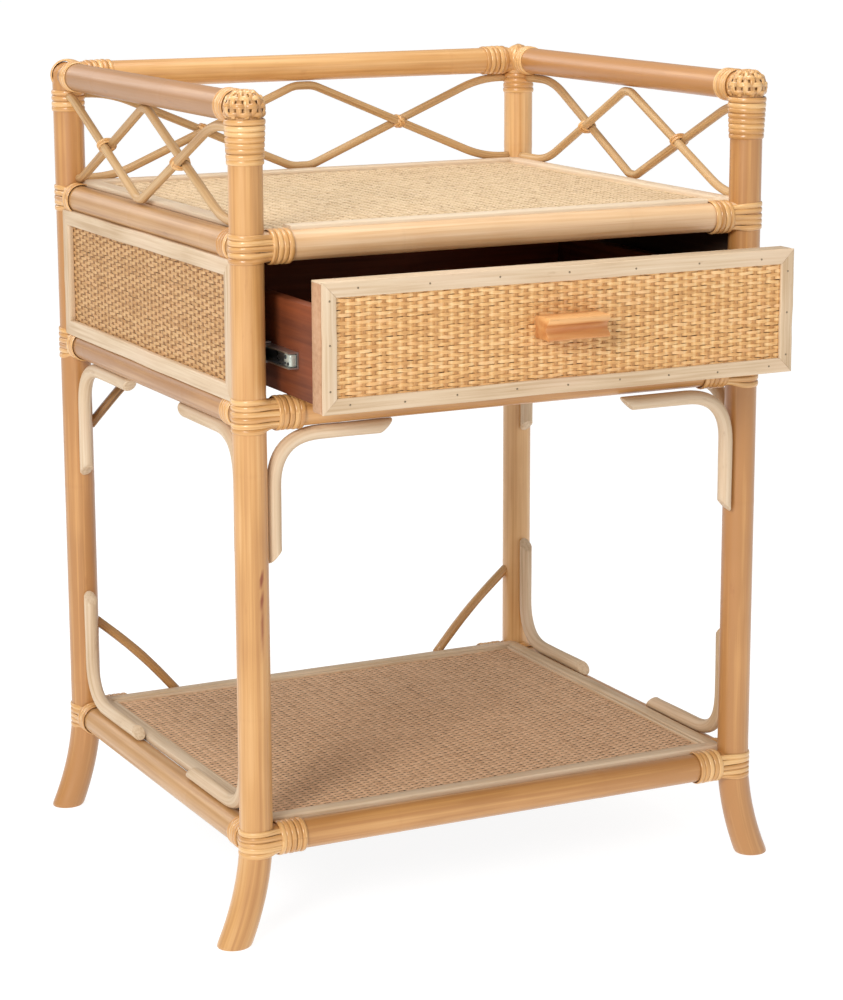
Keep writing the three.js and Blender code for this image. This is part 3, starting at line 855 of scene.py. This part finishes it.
def add_ring_row(strips, start, axis, radius, count, pitch=PEEL_PITCH):
    for k in range(count):
        jitter = strips.random.uniform(-0.3, 0.3) * MM
        grow = strips.random.uniform(-0.15, 0.25) * MM
        add_ring(strips, start + axis * (k * pitch + jitter), axis, radius + grow)


def add_corner_wraps(strips, corner, inward, outward, rows, ring_start, ring_count, side_run):
    """Strips round the outside of a post that lie over a cross rail and are held there by rings.

    inward runs along the cross rail from the post, and outward points away from the side rail. The
    strips start at the side rail, or `side_run` along its outer face when that is more than nothing.
    """
    cover_r = RAIL_R + 0.3 * MM
    post_r = POST_R + 0.1 * MM
    before = np.linspace(side_run, 0, 12)[:-1] if side_run else np.zeros(0)
    first_angle = math.pi if side_run else math.radians(208)
    turn = np.linspace(first_angle, math.pi / 2, 24)[:-1]
    rest = np.linspace(0, ring_start + 2 * MM, 14)
    onto_side = smoothstep((before - 2 * MM) / (12 * MM))
    onto = smoothstep((rest - 2 * MM) / (16 * MM))
    for row in range(rows):
        height = (row - (rows - 1) / 2) * PEEL_PITCH + strips.random.uniform(-0.3, 0.3) * MM
        lean = height / cover_r
        near, rise = cover_r * math.cos(lean) - post_r, cover_r * math.sin(lean) - height
        along = np.concatenate([-post_r - onto_side * near, post_r * np.cos(turn), rest])
        away = np.concatenate([-before, post_r * np.sin(turn), post_r + onto * near])
        lift = np.concatenate([onto_side * rise, 0 * turn, onto * rise]) + height
        wave = 0.3 * MM * np.sin(np.linspace(0, 7, len(along)) + strips.random.uniform(0, 6))
        path = corner + along[:, None] * inward + away[:, None] * outward + (lift + wave)[:, None] * Z
        tilt_side, tilt = onto_side[:, None] * lean, onto[:, None] * lean
        out = [
            -np.cos(tilt_side) * inward + np.sin(tilt_side) * Z,
            np.cos(turn)[:, None] * inward + np.sin(turn)[:, None] * outward,
            np.cos(tilt) * outward + np.sin(tilt) * Z,
        ]
        strips.add(path, np.concatenate(out), peel_section())
    add_ring_row(strips, corner + inward * ring_start, inward, RAIL_R + 0.9 * MM, ring_count)
    if side_run:
        start = corner - outward * (side_run - 3 * MM)
        add_ring_row(strips, start, -outward, RAIL_R + 0.9 * MM, 3)
    else:
        add_ring_row(strips, corner - outward * 16.5 * MM, -outward, RAIL_R + 0.2 * MM, 4)


def make_level_bindings():
    """The wraps at the lower, middle and upper rails: rows round the post, then rings on the rail."""
    rows = {"lower": (5, 20 * MM, 5), "middle": (6, 23 * MM, 5), "upper": (5, 20 * MM, 4)}
    seed = 400
    for level, (row_count, ring_start, ring_count) in rows.items():
        for end, sign in ENDS:
            for name, side in SIDES:
                seed += 1
                peel = Strips(seed)
                corner = np.array((POST_X[name], POST_Y[end], LEVELS[level]))
                side_run = 20 * MM if end == "back" else 0
                add_corner_wraps(
                    peel, corner, -side * X, sign * Y, row_count, ring_start, ring_count, side_run
                )
                peel.build(f"binding_{level}_{end}_{name}", "peel_binding")


def make_front_knots():
    """The front ends of the gallery rails: a woven cap on each post, and rings below it."""
    y = POST_Y["front"]
    rail_z = LEVELS["gallery"]
    meridians = 16
    for name, side in SIDES:
        peel = Strips(500 + side)
        centre = np.array((POST_X[name], y, 0.0))
        cap_r = POST_R + 1.7 * MM
        cap_rise = POST_TOP + 1.2 * MM - rail_z
        for k in range(8):
            at = centre + Z * (rail_z - 42.5 * MM + 4.5 * MM * k + peel.random.uniform(-0.2, 0.2) * MM)
            add_ring(peel, at, Z, POST_R + (0.1 + 0.22 * k) * MM)

        def on_cap(turn, rise, lift):
            level = np.stack([np.cos(turn), np.sin(turn), 0 * turn], -1)
            flat, up = np.cos(rise)[..., None], np.sin(rise)[..., None]
            path = centre + Z * rail_z + level * flat * cap_r + Z * up * cap_rise
            out = unit(level * flat / cap_r + Z * up / cap_rise)
            return path + out * lift[..., None], out

        for k in range(meridians):
            turn = np.full(16, (k + 0.3) * 2 * math.pi / meridians)
            rise = np.linspace(-0.55, 1.3, 16)
            lift = 0.55 * MM * np.cos(6.6 * rise + math.pi * k)
            path, out = on_cap(turn, rise, lift)
            # Darker where a strip dips under the rings: painted shade.
            dip = np.clip(-lift / (0.6 * MM), 0, 1)
            wide = 0.35 + 0.65 * np.clip(np.cos(rise), 0, 1)
            section = peel_section(4.8 * MM, 1.3 * MM)[None] * np.stack([wide, np.ones(16)], 1)[:, None]
            peel.add(path, out, section, mark=dip)
        for k, rise in enumerate((-0.32, 0.16, 0.62, 1.05)):
            turn = full_turn(96)
            lift = 0.3 * MM - 0.75 * MM * np.cos(meridians / 2 * turn + math.pi * k)
            path, out = on_cap(turn, np.full(96, rise), lift)
            # Darker where a ring dips under the strips: painted shade.
            dip = np.clip(0.5 - lift / (0.9 * MM), 0, 1)
            peel.add(path, out, peel_section(4.3 * MM, 1.2 * MM), loop=True, mark=dip)
        for lean in (0.5, 2.1):
            rise = np.linspace(-0.62, 0.62, 9)
            across = np.array((math.cos(lean), math.sin(lean), 0.0))
            top = centre + Z * (rail_z + cap_rise + 0.3 * MM)
            path = top + across * cap_r * np.sin(rise)[:, None] - Z * cap_rise * (1 - np.cos(rise))[:, None]
            peel.add(path, Z, peel_section(4.4 * MM, 1.1 * MM))
        add_ring_row(peel, centre + Z * rail_z + Y * 17.5 * MM, Y, RAIL_R + 0.5 * MM, 4, pitch=4.6 * MM)
        peel.build(f"binding_gallery_front_{name}", "peel_binding")


def make_back_corners():
    """The back corners of the gallery: rings on the two rails and the post, saddles over the top."""
    y = POST_Y["back"]
    rail_z = LEVELS["gallery"]
    for name, side in SIDES:
        peel = Strips(520 + side)
        corner = np.array((POST_X[name], y, rail_z))
        add_ring_row(peel, corner - side * X * 19 * MM, -side * X, RAIL_R + 0.2 * MM, 5, pitch=5.1 * MM)
        add_ring_row(peel, corner - Y * 17 * MM, -Y, RAIL_R + 0.2 * MM, 3, pitch=4.6 * MM)
        add_ring_row(peel, corner - Z * 30 * MM, Z, POST_R, 4, pitch=5.0 * MM)
        inner = unit(-side * X - Y)
        for k in range(5):
            angle = (k - 2) * 0.27
            cos, sin = math.cos(angle), math.sin(angle)
            spin = np.array((inner[0] * cos - inner[1] * sin, inner[0] * sin + inner[1] * cos, 0.0))
            turn = np.linspace(-0.95, math.pi + 0.95, 34)
            wide = np.where(np.cos(turn) > 0, 17.6 * MM, POST_R + 0.4 * MM)
            reach = wide * np.cos(turn)
            height = 13.6 * MM * np.sin(turn) + 0.12 * MM * k
            path = corner + reach[:, None] * spin + height[:, None] * Z
            out = np.cos(turn)[:, None] * spin + np.sin(turn)[:, None] * Z
            peel.add(path, out, peel_section(4.8 * MM, 1.3 * MM))
        peel.build(f"binding_gallery_back_{name}", "peel_binding")


# ---- woven faces


class Face:
    """A flat face with its own axes: u along the strands, v up the stakes, n outwards."""

    def __init__(self, origin, u, v):
        self.origin = np.array(origin, float)
        self.u, self.v = u, v
        self.n = np.cross(u, v)

    def at(self, a, b, c=0.0):
        a, b, c = np.broadcast_arrays(a, b, c)
        return self.origin + a[..., None] * self.u + b[..., None] * self.v + c[..., None] * self.n


def add_weave(strips, face, width, height, relief, thick, fine=False, flaws=0.003):
    """Flat strands that pass over and under a row of stakes, the neighbouring ones the other way.
    The strands are palest between the stakes, a painted highlight where they turn, and darker where
    they dip under a stake, painted shade with some dirt; the stakes are darker as well, painted shade
    with some dirt. `flaws` is the share of them with a dark spot.
    `fine` is for the shelf mats, whose strands have a simpler section."""
    columns = round(width / STAKE_PITCH)
    rows = round(height / STRAND_PITCH)
    column_pitch, row_pitch = width / columns, height / rows
    random = strips.random
    stake = rounded_box(column_pitch * STAKE_SHARE, thick, 0.3 * thick, 2, base=-thick / 2)
    for column in range(columns):
        u = (column + 0.5) * column_pitch + random.uniform(-0.3, 0.3) * MM
        # The stakes are darker in tone and mark: painted shade where they sit sunk between the strands,
        # with some dirt.
        strips.add(face.at(np.full(3, u), np.linspace(0, height, 3)), face.n, stake, tone=0.3, mark=1.0)
    samples = 4 if fine else 6
    count = columns * samples + 1
    u = np.linspace(0, width, count)
    wave = np.cos(math.pi * (u / column_pitch - 0.5))
    column_size = 1 + np.repeat(random.uniform(-0.2, 0.2, columns), samples)
    column_size = np.append(column_size, column_size[-1])
    # Painted highlight: the strands are paler where they turn between the stakes.
    between = np.exp(-((wave / 0.45) ** 2))
    if fine:
        outline = np.array(FINE_STRAND) * (row_pitch, thick)
    else:
        outline = rounded_box(row_pitch, thick, 0.24 * thick, 3, base=-thick / 2)
    for row in range(rows):
        way = 1 if row % 2 else -1
        grid = random.uniform(-1, 1, columns + 2)
        drift = np.interp(u / column_pitch, np.arange(columns + 2), grid) * 0.16 * row_pitch
        v = (row + 0.5) * row_pitch + drift
        rise = way * wave * relief * column_size * random.uniform(0.9, 1.1)
        # Darker where a strand dips under a stake: painted shade, with some dirt.
        mark = np.clip(-0.3 - 0.6 * way * wave, 0, 1)
        mark = np.maximum(mark, random.uniform(size=count) < flaws)
        size = random.uniform(0.92, 1.04)
        tone = random.uniform(0.15, 0.6) + 0.5 * between
        strips.add(face.at(u, v, rise), face.n, outline * (size, 1.0), tone=tone, mark=mark)


def add_frame(strips, face, low, high, width, thick, radius, skip=(), tone=None):
    """Four flat strips round a rectangle of the face, mitred at their corners."""
    inset = width / 2
    corner = [(low[0], low[1]), (high[0], low[1]), (high[0], high[1]), (low[0], high[1])]
    centre = [
        (low[0] + inset, low[1] + inset), (high[0] - inset, low[1] + inset),
        (high[0] - inset, high[1] - inset), (low[0] + inset, high[1] - inset),
    ]
    section = rounded_box(width, thick, radius)
    for k in range(len(corner)):
        if k in skip:
            continue
        a, b = np.array(centre[k]), np.array(centre[(k + 1) % 4])
        t = np.linspace(0, 1, 20 if np.linalg.norm(b - a) > 200 * MM else 10)[:, None]
        line = a + (b - a) * t
        phase = strips.random.uniform(0, 6, 2)
        hump = np.sin(math.pi * t[:, 0])
        sway = hump * (0.25 * np.sin(9 * t[:, 0] + phase[0]) + 0.2 * np.sin(21 * t[:, 0] + phase[1])) * MM
        across = np.array((b[1] - a[1], a[0] - b[0])) / np.linalg.norm(b - a)
        line = line + across * sway[:, None]
        path = face.at(line[:, 0], line[:, 1], 0.3 * sway)
        mitre = section[:, 0]
        slant = (mitre + MITRE_GAP, -mitre - MITRE_GAP)
        strips.add(path, face.n, section, slant=slant, tone=tone)


def add_pins(strips, face, places, lift):
    """Small nail heads standing just proud of a strip."""
    for a, b in places:
        path = face.at(np.full(4, a), np.full(4, b), np.array([-1.0, 0.15, 0.32, 0.38]) * MM + lift)
        size = np.array([1.0, 1.0, 0.75, 0.3])[:, None, None]
        strips.add(path, face.u, circle(0.85 * MM, 10)[None] * size)


def board_behind(name, node, axis, low_trim, high_trim):
    """The board that carries a weave: the CAD panel's box, cut back by the weave's own thickness."""
    low, high = (np.array(corner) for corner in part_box(node))
    board = Strips(len(name))
    board.board(low + low_trim, high - high_trim, axis)
    # The board takes the near-black finish: painted shade inside the frame.
    board.build(name, "shaded_backing_board")


def make_side_panels():
    for k, (name, side) in enumerate(SIDES):
        panel_low, panel_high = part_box(f"side_panel_{name}")
        trim_low, trim_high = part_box(f"side_trim_{name}")
        x = panel_high[0] if side > 0 else panel_low[0]
        u = side * Y
        origin = (x, panel_low[1] if side > 0 else panel_high[1], panel_low[2])
        face = Face(origin, u, Z)
        width = panel_high[1] - panel_low[1]
        height = panel_high[2] - panel_low[2]
        weave = Strips(600 + k)
        add_weave(weave, face, width, height, relief=0.65 * MM, thick=1.1 * MM)
        node = f"side_panel_{name}"
        weave.build(f"{node}_weave", "panel_weave", [node])
        cut = np.array((1.6 * MM, 0.0, 0.0))
        low_cut, high_cut = (0 * cut, cut) if side > 0 else (cut, 0 * cut)
        board_behind(f"{node}_board", node, 1, low_cut, high_cut)
        trim = Strips(610 + k)
        reach = trim_high[1] - trim_low[1]
        spare = (reach - width) / 2
        base = (trim_low[0] if side > 0 else -trim_high[0]) - side * x
        edge = Face(face.at(0.0, 0.0, base), u, Z)
        thick = trim_high[0] - trim_low[0]
        to_rail = 3.2 * MM
        low_corner, high_corner = (-spare, -to_rail), (width + spare, height + to_rail)
        add_frame(trim, edge, low_corner, high_corner, SIDE_TRIM, thick, 1.4 * MM)
        node = f"side_trim_{name}"
        trim.build(f"{node}_strips", "core_cane", [node])
        runner = Strips(620 + k)
        node = f"slide_runner_{name}"
        runner.board(*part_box(node), 1)
        runner.build(f"{node}_batten", "batten_wood", [node])


def make_back_panel():
    node = "back_panel"
    low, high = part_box(node)
    border = 6 * MM
    face = Face((high[0], high[1] - border, low[2]), -X, Z)
    width, height = high[0] - low[0], high[2] - low[2]
    weave = Strips(630)
    add_weave(weave, face, width, height, relief=0.85 * MM, thick=1.1 * MM)
    weave.build(f"{node}_weave", "panel_weave", [node])
    cut = np.array((0.0, border + 1.6 * MM, 0.0))
    board_behind(f"{node}_board", node, 0, 0 * cut, cut)
    trim = Strips(631)
    add_frame(trim, face, (0, 0), (width, height), BACK_TRIM, border, 1.4 * MM)
    trim.build(f"{node}_strips", "core_cane")


def make_shelves():
    for k, name in enumerate(("top", "bottom")):
        panel = f"{name}_shelf_panel"
        node = f"{name}_shelf_trim"
        low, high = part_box(panel)
        trim_low, trim_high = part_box(node)
        face = Face((low[0], low[1], high[2] - 0.45 * MM), X, Y)
        width, height = high[0] - low[0], high[1] - low[1]
        mat = Strips(640 + k)
        flaws = 0.05 if name == "top" else 0.03
        add_weave(mat, face, width, height, relief=0.4 * MM, thick=0.7 * MM, fine=True, flaws=flaws)
        mat.build(f"{name}_shelf_mat", f"{name}_mat", [panel])
        cut = np.array((0.0, 0.0, 1.2 * MM))
        board_behind(f"{name}_shelf_board", panel, 0, 0 * cut, cut)
        trim = Strips(650 + k)
        sink = (1.8 if name == "top" else 3.2) * MM
        edge = Face((0, 0, trim_low[2] - sink), X, Y)
        thick = trim_high[2] - trim_low[2] + sink
        if name == "top":
            wide = TOP_TRIM
            # The top shelf's trim is paler than the other trims: a painted highlight on its lit upper face.
            pale = 2.0
            add_frame(trim, edge, trim_low, trim_high, wide, thick, 1.2 * MM, skip=(0,), tone=pale)
            reach = POST_X["right"] - POST_R - 24.5 * MM
            path = edge.at(np.linspace(-reach, reach, 12), np.full(12, trim_low[1] + wide / 2))
            trim.add(path, Z, rounded_box(wide, thick, 1.2 * MM), tone=pale)
        else:
            wide = BOTTOM_TRIM
            add_frame(trim, edge, trim_low, trim_high, wide, thick, 1.2 * MM)
            inner = np.array((1.0, 1.0)) * (wide + 0.5 * MM)
            low_corner = np.array(trim_low[:2]) + inner
            high_corner = np.array(trim_high[:2]) - inner
            add_frame(trim, edge, low_corner, high_corner, BOTTOM_INNER_TRIM, 0.8 * thick, 0.6 * MM)
        trim.build(f"{node}_strips", "core_cane", [node])


# ---- drawer


def make_drawer_front():
    low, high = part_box("drawer_front")
    trim_low, trim_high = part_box("drawer_front_trim")
    width, height = high[0] - low[0], high[2] - low[2]
    board = Strips(700)
    board_top = (high[0], high[1], high[2] - 0.8 * MM)
    board.board((low[0], low[1] + 1.5 * MM, low[2]), board_top, 0, radius=0.8 * MM)
    board.build("drawer_front_board", "front_board", body="drawer")
    face = Face((low[0] + 5 * MM, low[1], low[2] + 5 * MM), X, Z)
    weave = Strips(701)
    add_weave(weave, face, width - 10 * MM, height - 10 * MM, relief=0.6 * MM, thick=1.1 * MM)
    weave.build("drawer_front_weave", "drawer_weave", ["drawer_front"], body="drawer")
    trim = Strips(702)
    edge = Face((low[0], trim_high[1], low[2]), X, Z)
    thick = trim_high[1] - trim_low[1]
    add_frame(trim, edge, (0, 0), (width, height), DRAWER_TRIM, thick, 0.9 * MM)
    trim.board((low[0], low[1] + 0.2 * MM, high[2] - DRAWER_CAPPING), high, 0, radius=0.5 * MM)
    trim.build("drawer_trim_strips", "core_cane", ["drawer_front_trim"], body="drawer")
    pins = Strips(703)
    places = []
    for count, row in ((7, height - DRAWER_TRIM / 2), (9, DRAWER_TRIM / 2)):
        for k in range(count):
            shift = pins.random.uniform(-4, 4) * MM
            places.append(((k + 0.5) * width / count + shift, row + pins.random.uniform(-1, 1) * MM))
    for column in (DRAWER_TRIM / 2, width - DRAWER_TRIM / 2):
        for k in range(3):
            places.append((column, (k + 0.5) * height / 3 + pins.random.uniform(-3, 3) * MM))
    add_pins(pins, edge, places, thick)
    pins.build("drawer_trim_pins", "pin_steel", body="drawer")


def make_handle():
    low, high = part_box("drawer_handle")
    low = low + Vector((2.5 * MM, 0, 2.0 * MM))
    high = high - Vector((2.5 * MM, 0, 0))
    depth, rise = high[1] - low[1], high[2] - low[2]
    half = rise / 2
    outline = [(-half + 0.6 * MM, 0), (half - 0.6 * MM, 0), (half, 0.6 * MM), (half, depth - 1.4 * MM)]
    outline += [(half - 0.5 * MM, depth - 0.4 * MM), (half - 1.5 * MM, depth)]
    hollow = ((0.66, 0.3), (0.5, 1.5), (0.3, 3.6), (0.08, 5.2), (-0.14, 5.6), (-0.38, 4.4), (-0.6, 2.0))
    outline += [(half * place, depth - sink * MM) for place, sink in hollow]
    outline += [(-half + 1.2 * MM, depth), (-half + 0.3 * MM, depth - 0.5 * MM)]
    outline += [(-half, depth - 1.4 * MM), (-half, 0.6 * MM)]
    section = np.array(outline)
    centre = np.array((0, depth / 2))
    eased = centre + (section - centre) * 0.93
    x = np.array([low[0], low[0] + 0.7 * MM, high[0] - 0.7 * MM, high[0]])
    path = np.stack([x, np.full(4, high[1]), np.full(4, (low[2] + high[2]) / 2)], 1)
    handle = Strips(710)
    # The upper part of the grip is paler: a painted highlight where the light falls on its top.
    paler = np.where(section[:, 0] > 0.3 * half, 1.0, 0.4)[None]
    handle.add(path, -Y, np.array([eased, section, section, eased]), tone=paler)
    handle.build(
        "drawer_handle_grip", "handle_wood", ["drawer_handle"], body="drawer", sharp_angle=38
    )


def make_drawer_box():
    for k, name in enumerate(("side_left", "side_right", "back", "bottom")):
        node = f"drawer_{name}"
        board = Strips(720 + k)
        board.board(*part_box(node), 0 if name in ("back", "bottom") else 1, radius=1.2 * MM)
        look = "batten_wood" if name == "bottom" else "box_wood"
        board.build(f"{node}_board", look, [node], body="drawer")


def add_screw(strips, at, out, radius=3.2 * MM):
    """A pan head with a hollow in its middle."""
    steps = np.array([0.0, 0.5, 1.0, 1.35, 1.4, 1.0]) * MM
    sizes = np.array([1.0, 1.0, 0.86, 0.55, 0.35, 0.22])
    path = np.asarray(at) + steps[:, None] * out
    side = Z if abs(out[2]) < 0.9 else X
    strips.add(path, side, circle(radius, 14)[None] * sizes[:, None, None], tangent=out)


def add_ball(strips, at, radius):
    turn = np.linspace(-0.98, 0.98, 7) * math.pi / 2
    path = np.asarray(at) + np.sin(turn)[:, None] * radius * X
    sections = circle(radius, 10)[None] * np.cos(turn)[:, None, None]
    strips.add(path, Z, sections)


def make_slides():
    """The steel members stay as the CAD has them; this adds the screws, balls and catches, and near-black
    studs on each catch that paint the shade in its holes.
    """
    for node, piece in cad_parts.items():
        if node.startswith("slide_") and "runner" not in node:
            piece.data.materials.clear()
            piece.data.materials.append(finish["slide_steel"])
    for k, (name, side) in enumerate(SIDES):
        low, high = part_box(f"slide_drawer_{name}")
        inner_x = low[0] if side > 0 else high[0]
        middle_z = (low[2] + high[2]) / 2
        screws = Strips(740 + k)
        for place in (0.06, 0.35, 0.65, 0.94):
            y = low[1] + (high[1] - low[1]) * place
            add_screw(screws, (inner_x + side * 1.3 * MM, y, middle_z), side * X)
        screws.build(f"slide_screws_{name}", "slide_steel", body="drawer")
        low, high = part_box(f"slide_middle_{name}")
        x = (low[0] + high[0]) / 2
        balls = Strips(750 + k)
        for z in (low[2] + 0.7 * MM, high[2] - 0.7 * MM):
            for y in np.arange(low[1] + 30 * MM, high[1] - 30 * MM, 9 * MM):
                add_ball(balls, (x, y, z), 1.0 * MM)
        add_screw(balls, (x + side * 2.4 * MM, low[1] + 16 * MM, middle_z), side * X, 3.6 * MM)
        add_screw(balls, (x + side * 2.4 * MM, low[1] + 32 * MM, middle_z), side * X, 2.4 * MM)
        balls.build(f"slide_balls_{name}", "slide_zinc", body=f"slide_middle_{name}")
        low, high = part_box(f"slide_drawer_{name}")
        web, face_x = inner_x + side * 1.3 * MM, inner_x + side * 7.4 * MM
        catch = Strips(760 + k)
        catch.board(
            (min(web, face_x), low[1] + 0.6 * MM, middle_z - 5.2 * MM),
            (max(web, face_x), low[1] + 12.6 * MM, middle_z + 5.2 * MM), 1, 1.2 * MM,
        )
        catch.build(f"slide_catch_{name}", "slide_zinc", body="drawer")
        # Near-black studs on the catch: painted shade for the holes in the slide's front end.
        hole_shades = Strips(770 + k)
        for ahead, up, radius in ((3.5, -2.6, 1.3), (8.5, 2.4, 1.6), (9.0, -2.6, 1.0)):
            add_screw(hole_shades, (face_x, low[1] + ahead * MM, middle_z + up * MM), side * X, radius * MM)
        hole_shades.build(f"slide_hole_shades_{name}", "slide_hole_shade", body="drawer")


# ---- stage


def make_stage():
    scene = bpy.context.scene
    camera = bpy.data.objects.new("camera", bpy.data.cameras.new("camera"))
    scene.collection.objects.link(camera)
    level = math.cos(CAMERA_PITCH)
    ahead = Vector((math.sin(CAMERA_YAW) * level, math.cos(CAMERA_YAW) * level, math.sin(CAMERA_PITCH)))
    turn = ahead.to_track_quat("-Z", "Y").to_matrix() @ Matrix.Rotation(CAMERA_ROLL, 3, "Z")
    camera.matrix_world = Matrix.Translation(CAMERA_AT) @ turn.to_4x4()
    camera.data.lens = CAMERA_LENS
    camera.data.sensor_width = CAMERA_SENSOR
    scene.camera = camera
    scene.view_settings.view_transform = "Standard"

    world = bpy.data.worlds.new("studio")
    world.use_nodes = True
    background = world.node_tree.nodes["Background"]
    background.inputs["Color"].default_value = (1.0, 1.0, 1.0, 1.0)
    background.inputs["Strength"].default_value = WORLD_LIGHT
    scene.world = world

    mesh = bpy.data.meshes.new("floor")
    half = FLOOR_HALF
    corners = [(-half, -half, 0), (half, -half, 0), (half, half, 0), (-half, half, 0)]
    mesh.from_pydata(corners, [], [(0, 1, 2, 3)])
    floor = bpy.data.objects.new("floor", mesh)
    scene.collection.objects.link(floor)
    paint = bpy.data.materials.new("floor_paint")
    paint.use_nodes = True
    shader = paint.node_tree.nodes["Principled BSDF"]
    shader.inputs["Base Color"].default_value = (0.25, 0.25, 0.25, 1.0)
    shader.inputs["Roughness"].default_value = 0.9
    shader.inputs["Specular IOR Level"].default_value = 0.1
    shader.inputs["Emission Color"].default_value = (1.0, 1.0, 1.0, 1.0)
    shader.inputs["Emission Strength"].default_value = FLOOR_LIGHT
    mesh.materials.append(paint)

    for name, (place, size, power) in LAMPS.items():
        lamp = bpy.data.lights.new(name, "AREA")
        lamp.shape = "DISK"
        lamp.size = size
        lamp.energy = power
        light = bpy.data.objects.new(name, lamp)
        scene.collection.objects.link(light)
        light.location = place
        aim = Vector(LAMP_AIM) - light.location
        light.rotation_euler = aim.to_track_quat("-Z", "Y").to_euler()


make_stage()
make_poles()
make_lattices()
make_brackets()
make_braces()
make_level_bindings()
make_front_knots()
make_back_corners()
make_side_panels()
make_back_panel()
make_shelves()
make_drawer_front()
make_handle()
make_drawer_box()
make_slides()
